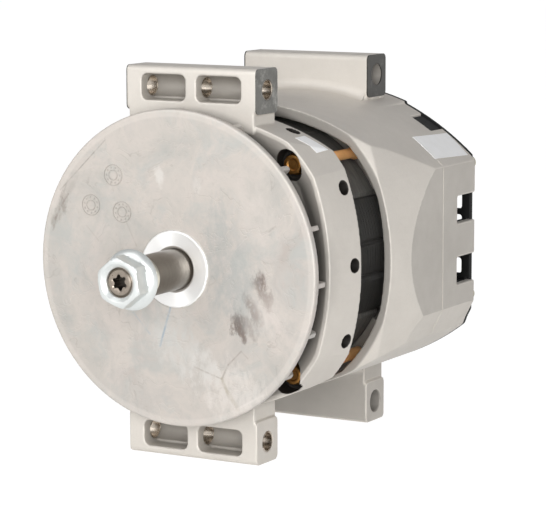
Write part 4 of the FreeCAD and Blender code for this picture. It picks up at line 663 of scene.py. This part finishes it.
def ring_faces(rings, count, start=0, joined=False):
    """Faces between rings of count points. The last ring joins the first, or both ends get a cap."""
    rows = [range(start + ring * count, start + (ring + 1) * count) for ring in range(rings)]
    faces = [] if joined else [tuple(rows[0]), tuple(reversed(rows[-1]))]
    for near, far in zip(rows, rows[1:] + rows[:1] if joined else rows[1:]):
        faces += [(near[index - 1], near[index], far[index], far[index - 1]) for index in range(count)]
    return faces


def add_turned(name, parts, smooth_angle, node, finishes, replace=True):
    """A piece of outlines turned about axes along Y: (points, segments, x, z) for each, in mm.

    A point is (y, radius), or (y, radius, shape) with shape(radius, angle) as the radius at an angle.
    """
    vertices = []
    faces = []
    for points, segments, x, z in parts:
        faces += ring_faces(segments, len(points), len(vertices), True)
        for step in range(segments):
            angle = 2 * math.pi * step / segments
            for y, radius, *shape in points:
                reach = shape[0](radius, angle) if shape else radius
                place = Vector((x + reach * math.cos(angle), y, z + reach * math.sin(angle)))
                vertices.append(place * MM)
    return add_piece(name, mesh_from(name, vertices, faces, smooth_angle), node, finishes, replace)


def six_sided(flats, turn=0.0):
    """A shape for add_turned: a hexagon with a corner at turn degrees, inside a round envelope."""
    def reach(radius, angle):
        local = (angle - math.radians(turn)) % (math.pi / 3) - math.pi / 6
        return min(radius, flats / 2 / math.cos(local))
    return reach


def six_lobed(turn=0.0, lobe=0.25):
    """A shape for add_turned: six round lobes, each of a share of the radius."""
    def reach(radius, angle):
        small = radius * lobe
        ring = radius - small
        local = (angle - math.radians(turn) + math.pi / 6) % (math.pi / 3) - math.pi / 6
        inside = small ** 2 - (ring * math.sin(local)) ** 2
        return max(ring, ring * math.cos(local) + math.sqrt(max(inside, 0.0)))
    return reach


def thread(start, end, radius, pitch):
    """The outline of a thread from start to end along Y, as ridges of the pitch."""
    root = radius - 0.6 * pitch
    turns = int((end - start) / pitch)
    step = (end - start) / turns
    points = []
    for index in range(turns):
        low = start + step * index
        points += [(low, root), (low + step * 0.42, radius), (low + step * 0.58, radius)]
    return points + [(end, root)]


def islands(name):
    """The middle, low corner and high corner in mm of each separate solid of a node."""
    work = opened(copy_of_node(name))
    left = set(work.verts)
    found = []
    while left:
        waiting = [left.pop()]
        places = []
        while waiting:
            current = waiting.pop()
            places.append(current.co / MM)
            others = {edge.other_vert(current) for edge in current.link_edges} & left
            left -= others
            waiting += others
        low, high = [Vector(map(choose, zip(*places))) for choose in (min, max)]
        found.append(((low + high) / 2, low, high))
    work.free()
    return sorted(found, key=lambda item: tuple(round(value, 3) for value in item[0]))


def lifted_faces(name, test, lift, depth):
    """A thin plate from a node's faces that pass a test, lifted and given a depth, in metres."""
    work = opened(copy_of_node(name))
    work.normal_update()
    drop = [face for face in work.faces if not test(face.calc_center_median(), face.normal)]
    bmesh.ops.delete(work, geom=drop, context="FACES")
    bmesh.ops.dissolve_limit(work, angle_limit=math.radians(2), verts=work.verts, edges=work.edges)
    for vertex in work.verts:
        vertex.co += vertex.normal * lift
    lower = bmesh.ops.extrude_face_region(work, geom=work.faces[:])
    for item in lower["geom"]:
        if isinstance(item, bmesh.types.BMVert):
            item.co -= item.normal * depth
    mesh = bpy.data.meshes.new(name + "_plate")
    bmesh.ops.recalc_face_normals(work, faces=work.faces)
    work.to_mesh(mesh)
    work.free()
    shade(mesh, 30.0)
    return mesh


def surface_of(mesh):
    """A mesh as a tree to cast rays at, or to find the nearest point on."""
    work = opened(mesh)
    surface = BVHTree.FromBMesh(work)
    work.free()
    return surface


def add_plate(name, node, finish, corners, steps=(18, 12), thickness=0.12):
    """A thin plate that lies on a node: its four corners as (degrees round the shaft, mm along it)."""
    surface = surface_of(frame["nodes"][node].data)
    corners = [Vector(corner) for corner in corners]
    top = [(column / steps[1], thickness) for column in range(steps[1] + 1)]
    ring = top + [(share, -lift) for share, lift in reversed(top)]
    vertices = []
    for row in range(steps[0] + 1):
        near = corners[0].lerp(corners[3], row / steps[0])
        far = corners[1].lerp(corners[2], row / steps[0])
        for share, lift in ring:
            degrees, along = near.lerp(far, share)
            turn = math.radians(degrees)
            outward = Vector((math.cos(turn), 0, math.sin(turn)))
            start = outward * 0.2 + Vector((0, along * MM, 0))
            hit, normal = surface.ray_cast(start, -outward)[:2]
            vertices.append(hit + normal * lift * MM)
    mesh = mesh_from(name, vertices, ring_faces(steps[0] + 1, len(ring)), 50.0)
    add_piece(name, mesh, node, [finish], replace=False)


def copy_of_node(name):
    """A joined copy of a node's solid mesh."""
    mesh = frame["nodes"][name].data.copy()
    work = opened(mesh)
    bmesh.ops.remove_doubles(work, verts=work.verts, dist=2e-6)
    work.to_mesh(mesh)
    work.free()
    mesh.materials.clear()
    return mesh


def sharp_edge_points(mesh, angle, step):
    """Points every step along the edges where the surface turns by more than an angle."""
    work = opened(mesh)
    points = []
    for edge in work.edges:
        if edge.calc_face_angle(math.pi) > math.radians(angle):
            start, end = edge.verts[0].co, edge.verts[1].co
            pieces = max(1, math.ceil((end - start).length / step))
            points += [start.lerp(end, index / pieces) for index in range(pieces + 1)]
    work.free()
    return points


def with_modifier(mesh, kind, **settings):
    """A mesh changed by one modifier."""
    item = new_object("work", mesh)
    modifier = item.modifiers.new("work", kind)
    for key, value in settings.items():
        setattr(modifier, key, value)
    graph = bpy.context.evaluated_depsgraph_get()
    result = bpy.data.meshes.new_from_object(item.evaluated_get(graph), depsgraph=graph)
    bpy.data.objects.remove(item)
    return result


def softened(name, voxel, rounding, faces, sharp_angle=28.0):
    """A node's solid with its edges rounded as a casting's are, and its faces where they were.

    The solid is remeshed, drawn back onto its own surface, smoothed near its sharp edges, and
    thinned where it is flat.
    """
    solid = copy_of_node(name)
    fine = with_modifier(solid, "REMESH", mode="VOXEL", voxel_size=voxel)
    surface = surface_of(solid)
    points = sharp_edge_points(solid, sharp_angle, voxel)
    tree = KDTree(len(points))
    for index, point in enumerate(points):
        tree.insert(point, index)
    tree.balance()
    count = len(fine.vertices)
    places = np.array([surface.find_nearest(vertex.co)[0] for vertex in fine.vertices], dtype=float)
    away = np.array([tree.find(place)[2] for place in places])
    weights = np.clip(1.6 - away / rounding, 0, 1)[:, None]
    edges = np.zeros(len(fine.edges) * 2, dtype=np.int64)
    fine.edges.foreach_get("vertices", edges)
    first, second = edges[::2], edges[1::2]
    valence = np.bincount(first, minlength=count) + np.bincount(second, minlength=count)
    for _ in range(max(2, round((rounding / voxel) ** 2 * 2.2))):
        total = np.zeros_like(places)
        for axis in range(3):
            total[:, axis] = (np.bincount(first, places[second, axis], count)
                              + np.bincount(second, places[first, axis], count))
        mean = total / valence[:, None]
        places += weights * 0.5 * (mean - places)
    fine.vertices.foreach_set("co", places.ravel())
    fine.update()
    ratio = min(1.0, faces / (2.0 * len(fine.polygons)))
    thin = with_modifier(fine, "DECIMATE", ratio=ratio)
    bpy.data.meshes.remove(fine)
    bpy.data.meshes.remove(solid)
    shade(thin, 50.0)
    thin.name = name + "_soft"
    return with_modifier(thin, "WEIGHTED_NORMAL", weight=80, keep_sharp=True)


def paint_faces(item, index, test):
    """Give material number index to the faces whose middle passes a test."""
    for polygon in item.data.polygons:
        if test(polygon.center):
            polygon.material_index = index


# The moulded pieces: node, finish, voxel and rounding in mm, and number of faces.
CASTINGS = [
    ("front_housing", "front_housing", 0.62, 0.55, 150000),
    ("rear_housing", "rear_housing", 0.75, 0.6, 150000),
    ("fan", "fan", 0.6, 0.45, 80000),
    ("rear_cover", "plastic", 0.7, 0.5, 70000),
]


def make_castings():
    for name, finish, voxel, rounding, faces in CASTINGS:
        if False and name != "front_housing":
            continue
        mesh = softened(name, voxel * MM, rounding * MM, faces)
        add_piece(name + "_casting", mesh, name, [finish])


def make_pads():
    """Milled faces at the ends of the upper lugs and the turned boss of the fan."""
    # Only the upper lug ends, in near-black colours as a painted dark reflection.
    for name, finish in (("front_housing", "milled"), ("rear_housing", "milled_dark_reflection")):
        mesh = lifted_faces(name, lambda middle, normal: abs(abs(middle.x) - PAD_END * MM) < 0.2 * MM
                            and abs(normal.x) > 0.99 and middle.z > 0, 0.02 * MM, 0.6 * MM)
        add_piece(name + "_pads", mesh, name, [finish], replace=False)
    outline = [(-0.04, SHAFT_RADIUS + 1.5), (-0.04, BOSS_RADIUS - 0.9), (0.1, BOSS_RADIUS - 0.55),
               (FAN_FACE - 0.1, BOSS_RADIUS + 0.12), (FAN_FACE + 0.3, BOSS_RADIUS + 0.12),
               (FAN_FACE + 0.3, SHAFT_RADIUS + 2.5), (0.6, SHAFT_RADIUS + 1.5)]
    add_turned("fan_boss", [(outline, 160, 0, 0)], 20.0, "fan", ["boss"], replace=False)


def make_cast_marks():
    """Three round marks left by the casting tool on the fan disc: rings with short ribs, in a darker
    copy of the fan paint as painted shade.
    """
    parts = []
    for number, (x, z) in enumerate(CAST_MARKS):
        for radius, half in ((5.6, 0.32), (2.7, 0.28)):
            outline = [(FAN_FACE + 0.1, radius - half), (FAN_FACE - 0.38, radius - half * 0.4),
                       (FAN_FACE - 0.38, radius + half * 0.4), (FAN_FACE + 0.1, radius + half)]
            parts.append((outline, 48, x, z))
        for rib in range(10):
            turn = 2 * math.pi * rib / 10 + number * 0.4
            outline = [(FAN_FACE + 0.1, 0.0), (FAN_FACE - 0.34, 0.0), (FAN_FACE - 0.34, 0.38),
                       (FAN_FACE + 0.1, 0.62)]
            parts.append((outline, 12, x + 4.2 * math.cos(turn), z + 4.2 * math.sin(turn)))
    add_turned("cast_marks", parts, 40.0, "fan", ["fan_mark_shaded"], replace=False)


def make_shaft():
    """The shaft: six-lobed socket, thread, ground pulley seat and the steps behind it."""
    lobes = six_lobed(NUT_TURN)
    end, seat, radius = SHAFT_END, SEAT_FRONT, SHAFT_RADIUS
    outline = [(end + 6.0, 0.0), (end + 6.0, 4.1, lobes), (end + 0.5, 4.3, lobes),
               (end, 4.9), (end, 6.4), (end + 0.5, 6.9),
               *thread(end + 1.2, seat - 1.2, THREAD_RADIUS, 1.5),
               (seat, THREAD_RADIUS - 0.8), (seat, radius - 1.7), (seat + 0.15, radius - 1.5),
               (seat + 1.55, radius - 0.12), (seat + 1.9, radius), (20.0, radius), *SHAFT_STEPS]
    item = add_turned("shaft_turned", [(outline, 144, 0, 0)], 30.0, "shaft",
                      ["shaft", "shaft_end", "socket", "chamfer"])
    paint_faces(item, 1, lambda middle: middle.y < (seat - 0.2) * MM)
    paint_faces(item, 3, lambda middle: (seat - 0.2) * MM < middle.y < (seat + 1.7) * MM)
    # Painted shade in the socket.
    paint_faces(item, 2, lambda middle: math.hypot(middle.x, middle.z) < 4.45 * MM
                and (end + 0.3) * MM < middle.y < (end + 6.5) * MM)


def make_nut():
    """The flanged nut: hexagon with turned corners, a domed flange and a threaded bore."""
    hexagon = six_sided(NUT_FLATS, NUT_TURN)
    front, back = NUT_FRONT, NUT_BACK
    flat = NUT_FLATS / 2
    corner = NUT_FLATS / math.sqrt(3)
    rim = NUT_FLANGE
    bore = THREAD_RADIUS + 0.05
    outline = [(back, bore), (front + 1.9, bore), (front + 0.25, bore + 1.65), (front, bore + 2.1),
               (front, flat - 0.9, hexagon), (front + 0.12, flat - 0.35, hexagon),
               (front + 0.45, flat + 0.35, hexagon), (front + 0.95, flat + 1.05, hexagon),
               (front + 1.7, corner - 0.25, hexagon), (front + 2.6, corner, hexagon),
               (back - 5.6, corner, hexagon), (back - 4.7, corner + 0.05, hexagon),
               (back - 4.1, flat + 1.0, six_sided(NUT_FLATS + 1.2, NUT_TURN)),
               (back - 3.55, flat + 2.2), (back - 2.7, flat + 3.2), (back - 1.7, rim - 0.45),
               (back - 1.2, rim - 0.1), (back - 0.8, rim), (back - 0.4, rim - 0.08),
               (back - 0.1, rim - 0.5), (back, rim - 1.1)]
    add_turned("nut_formed", [(outline, 360, 0, 0)], 24.0, "shaft_nut", ["zinc"])


def make_through_bolts():
    """The long bolts: chamfered heads on a flange, shanks and swollen collars."""
    head = six_sided(10.0, 12.0)
    outline = [(27.2, 0.0), (27.2, 2.6), (26.6, 3.3), (26.5, 4.3, head), (26.7, 5.0, head),
               (27.3, 5.7, head), (30.6, 5.8, head), (30.8, 5.4), (31.0, 5.7), (31.4, 6.0),
               (31.8, 6.0), (32.0, 5.8), (32.0, 2.8), (94.2, 2.8), (95.0, 3.3), (95.6, 3.65),
               (96.4, 3.8), (102.4, 3.8), (103.0, 3.5), (103.0, 2.8),
               *thread(103.5, 118.6, 2.8, 1.0), (119.0, 0.0)]
    parts = [(outline, 60, x, z) for x, z in bolt_places()]
    item = add_turned("through_bolts_formed", parts, 32.0, "through_bolts", ["gold_zinc", "amber_zinc"])
    paint_faces(item, 1, lambda middle: middle.y < POCKET_FLOOR * MM)


def slot_reach(radius, angle):
    """The bore of the stator with its slots, as a shape for add_turned."""
    step = 2 * math.pi / STATOR_SLOTS
    local = (angle + step / 2) % step - step / 2
    return SLOT_BOTTOM if abs(math.sin(local)) * radius < SLOT_HALF_WIDTH else radius


def groove_reach(radius, angle):
    """The outside of the stator with its weld grooves."""
    degrees = math.degrees(angle) % 360
    nearest = min(abs((degrees - groove % 360 + 180) % 360 - 180) for groove in STATOR_GROOVES)
    return radius - GROOVE_DEPTH if nearest < GROOVE_HALF_WIDTH else radius


def make_stator():
    """The stator core as a stack of sheets, with weld grooves outside and slots inside."""
    outline = [(STATOR_BACK, STATOR_BORE, slot_reach), (STATOR_FRONT, STATOR_BORE, slot_reach)]
    between = STATOR_RADIUS - 0.22
    for sheet in range(round((STATOR_BACK - STATOR_FRONT) / SHEET)):
        low = STATOR_FRONT + SHEET * sheet
        edge = STATOR_RADIUS - 0.06 + 0.05 * math.sin(sheet * 2.4) * math.sin(sheet * 0.7)
        outline += [(low, between, groove_reach), (low + 0.10, edge, groove_reach),
                    (low + SHEET - 0.10, edge, groove_reach)]
    outline.append((STATOR_BACK, between, groove_reach))
    item = add_turned("stator_stack", [(outline, 432, 0, 0)], 30.0, "stator_core",
                      ["lamination", "lamination_bare"])
    paint_faces(item, 1, lambda middle: any(
        low < math.degrees(math.atan2(middle.z, middle.x)) % 360 < high for low, high in BARE_PANELS))


def make_bushings():
    """Split steel bushings in the front lugs, with rounded ends and a slit at the front."""
    wall = 0.8
    edge = 0.35
    slit = 0.075
    segments = 40
    vertices = []
    faces = []
    for middle, low, high in islands("front_lug_bushings"):
        outer = (high.y - low.y) / 2
        inner = outer - wall
        outline = [(low.x, inner + edge), (low.x, outer - edge), (low.x + edge, outer),
                   (high.x - edge, outer), (high.x, outer - edge), (high.x, inner + edge),
                   (high.x - edge, inner), (low.x + edge, inner)]
        faces += ring_faces(segments + 1, len(outline), len(vertices))
        for step in range(segments + 1):
            angle = math.pi + 2 * math.pi * (slit + (1 - 2 * slit) * step / segments)
            for x, radius in outline:
                vertices.append(Vector((x, middle.y + radius * math.cos(angle),
                                        middle.z + radius * math.sin(angle))) * MM)
    mesh = mesh_from("lug_sleeves", vertices, faces, 40.0)
    add_piece("lug_sleeves", mesh, "front_lug_bushings", ["sleeve"])


def make_studs():
    """Threaded studs on the back. The output stud has a hexagon head inside."""
    for name in ("output_stud", "earth_stud", "relay_stud"):
        middle, low, high = islands(name)[0]
        radius = RELAY_STUD_RADIUS if name == "relay_stud" else STUD_RADIUS
        outline = [(low.y, 0.0), (low.y, radius)]
        if name == "output_stud":
            head = six_sided(12.0)
            outline = [(low.y, 0.0), (low.y, 6.2, head), (low.y + 3.6, 6.8, head),
                       (low.y + 4.0, 6.0, head)]
        outline.append((low.y + 4.2, radius))
        outline += thread(high.y - 24.0, high.y - 0.8, radius, radius * 0.31)
        outline += [(high.y, radius * 0.72), (high.y, 0.0)]
        add_turned(name + "_threaded", [(outline, 48, middle.x, middle.z)], 30.0, name, ["stud"])


def make_nuts():
    """Chamfered nuts on the studs."""
    nuts = []
    for middle, low, high in islands("stud_nuts"):
        flats = min(high.x - low.x, high.z - low.z)
        bore = flats / 3.25
        corner = flats / math.sqrt(3)
        side = six_sided(flats, 0.0 if high.x - low.x > high.z - low.z else 30.0)
        nuts.append(([(low.y, bore), (low.y, corner - 0.8, side), (low.y + 0.6, corner, side),
                      (high.y - 0.7, corner, side), (high.y - 0.2, corner - 0.7, side),
                      (high.y, flats / 2 - 0.2, side), (high.y, bore + 0.5), (high.y - 0.5, bore)],
                     96, middle.x, middle.z))
    add_turned("stud_nuts_formed", nuts, 28.0, "stud_nuts", ["stud"])


def make_cover_screws():
    """Cover screws with six-lobed sockets."""
    screws = []
    recess = six_lobed()
    radius = COVER_SCREW_RADIUS
    for middle, low, high in islands("cover_screws"):
        head = (high.x - low.x) / 2
        base = high.y - radius * 1.4
        screws.append(([(high.y - 1.5, 0.0), (high.y - 1.5, 1.55, recess), (high.y - 0.05, 1.7, recess),
                        (high.y, 2.1), (high.y - 0.25, head * 0.62), (high.y - 0.95, head * 0.90),
                        (base + 0.5, head), (base + 0.1, head), (base, head - 0.2), (base, radius),
                        (low.y + 0.6, radius), (low.y, radius - 0.6), (low.y, 0.0)],
                       60, middle.x, middle.z))
    add_turned("cover_screws_formed", screws, 32.0, "cover_screws", ["olive_zinc"])


def make_labels():
    """Two blank white labels, one on the front ring and one on the upper facet behind."""
    add_plate("ring_label", "front_housing", "label",
              [(51.1, 31.0), (51.3, 41.8), (42.2, 43.2), (42.4, 33.0)])
    add_plate("facet_label", "rear_housing", "label",
              [(39.8, 132.4), (38.6, 173.4), (28.6, 171.4), (29.7, 131.5)])


def make_coves():
    """The hollow fillets between the front faces of the rear lugs and the body."""
    surface = surface_of(frame["nodes"]["rear_housing"].data)
    columns, steps = 44, 8
    half = LUG_HALF_LENGTH - 0.4
    for name, side in (("upper_lug_cove", 1), ("lower_lug_cove", -1)):
        vertices = []
        for column in range(columns + 1):
            x = -half + 2 * half * column / columns
            heights = []
            for y in (REAR_LUG_FRONT - COVE, REAR_LUG_FRONT - 0.2):
                hit = surface.ray_cast(Vector((x, y, side * 150)) * MM, Vector((0, 0, -side)))[0]
                heights.append(hit.z / MM)
            low = Vector((x, REAR_LUG_FRONT - COVE, heights[0] - 0.02 * side))
            corner = Vector((x, REAR_LUG_FRONT, heights[1]))
            high = Vector((x, REAR_LUG_FRONT + 0.02, heights[1] + COVE * side))
            for step in range(steps + 1):
                share = step / steps
                vertices.append(low.lerp(corner, share).lerp(corner.lerp(high, share), share) * MM)
            vertices.append(Vector((x, REAR_LUG_FRONT + 0.5, heights[1] - 0.8 * side)) * MM)
        mesh = mesh_from(name, vertices, ring_faces(columns + 1, steps + 2), 60.0)
        add_piece(name, mesh, "rear_housing", ["rear_housing"], replace=False)


def make_parting_lines():
    """The fine raised line that the casting die leaves down each flat side of the rear housing."""
    for name, middle in (("parting_line_right", 0.0), ("parting_line_left", 180.0)):
        corners = [(middle + PARTING_HALF, PARTING_Y), (middle + PARTING_HALF, PARTING_Y + 0.7),
                   (middle - PARTING_HALF, PARTING_Y + 0.7), (middle - PARTING_HALF, PARTING_Y)]
        add_plate(name, "rear_housing", "housing", corners, (60, 2), 0.16)


def make_light(name, place, target, width, height, power):
    data = bpy.data.lights.new(name, "AREA")
    data.shape = "RECTANGLE"
    data.size, data.size_y, data.energy = width, height, power
    item = new_object(name, data)
    item.location = place
    item.rotation_euler = (Vector(target) - Vector(place)).to_track_quat("-Z", "Y").to_euler()


def make_world():
    """An even studio: white to the camera and in reflections, darker overhead."""
    world = bpy.data.worlds.new("studio")
    world.use_nodes = True
    world.node_tree.nodes.clear()
    nodes = Nodes(world.node_tree)
    height = nodes.add("TexCoord", output="Generated").split()[2].spread(0.0, 1.0, -0.3, 0.9)
    soft_colour = nodes.ramp(height, [(0.0, (1.0, 0.985, 0.96)), (0.32, (0.76, 0.75, 0.74)),
                                      (0.62, (0.48, 0.48, 0.49)), (1.0, (0.52, 0.52, 0.53))])
    gloss_colour = nodes.ramp(height, [(0.0, (1, 1, 1)), (0.30, (1, 1, 0.99)),
                                       (0.46, (0.50, 0.50, 0.51)), (1.0, (0.32, 0.32, 0.33))])
    soft = nodes.add("Background", {"Color": soft_colour, "Strength": 0.55})
    gloss = nodes.add("Background", {"Color": gloss_colour, "Strength": 1.0})
    white = nodes.add("Background", {"Color": (1, 1, 1), "Strength": 1.0})
    lit = nodes.add("MixShader", {0: nodes.ray("Glossy"), 1: soft, 2: gloss})
    seen = nodes.ray("Camera").math("MAXIMUM", nodes.ray("Transmission"))
    mixed = nodes.add("MixShader", {0: seen, 1: lit, 2: white})
    output = world.node_tree.nodes.new("ShaderNodeOutputWorld")
    nodes.connect(output.inputs["Surface"], mixed)
    bpy.context.scene.world = world


def make_floor():
    """A plain white floor under the lower lugs: white to the camera, but for the object's shadow."""
    low = CAD_BOX[0][2] - FLOOR_GAP * MM
    half = FLOOR_HALF
    mesh = mesh_from("floor", [(-half, -half, low), (half, -half, low), (half, half, low),
                               (-half, half, low)], [(0, 1, 2, 3)])
    floor = new_object("floor", mesh)
    paint = Paint("floor")
    paint.shader.inputs["Base Color"].default_value = (0.82, 0.82, 0.82, 1)
    paint.shader.inputs["Roughness"].default_value = 0.9
    paint.shader.inputs["Specular IOR Level"].default_value = 0.0
    glow = paint.add("Emission", {"Color": (1, 1, 1), "Strength": FLOOR_GLOW})
    seen = paint.ray("Camera").math("MAXIMUM", paint.ray("Glossy"))
    share = seen.math("MAXIMUM", paint.ray("Transmission")) * FLOOR_GLOW_SHARE
    lit = Value(paint, paint.shader.outputs[0])
    mixed = paint.add("MixShader", {0: share, 1: lit, 2: glow})
    paint.connect(paint.tree.nodes["Material Output"].inputs["Surface"], mixed)
    floor.data.materials.append(paint.material)


make_camera()
make_world()
make_floor()
make_light("front_right", (1.05, -1.65, 0.25), (0, 0.05, 0), 1.2, 1.2, 38)
make_light("front_left", (-0.75, -1.5, 0.95), (0, 0.05, 0), 1.5, 1.3, 11)
make_light("top", (-0.5, -0.7, 1.6), (0, 0.08, 0), 1.0, 1.0, 3)
finish_nodes()
make_castings()
make_pads()
make_cast_marks()
make_shaft()
make_nut()
make_through_bolts()
make_stator()
make_bushings()
make_studs()
make_nuts()
make_cover_screws()
make_labels()
make_parting_lines()
make_coves()

bpy.context.scene.view_settings.view_transform = "Standard"
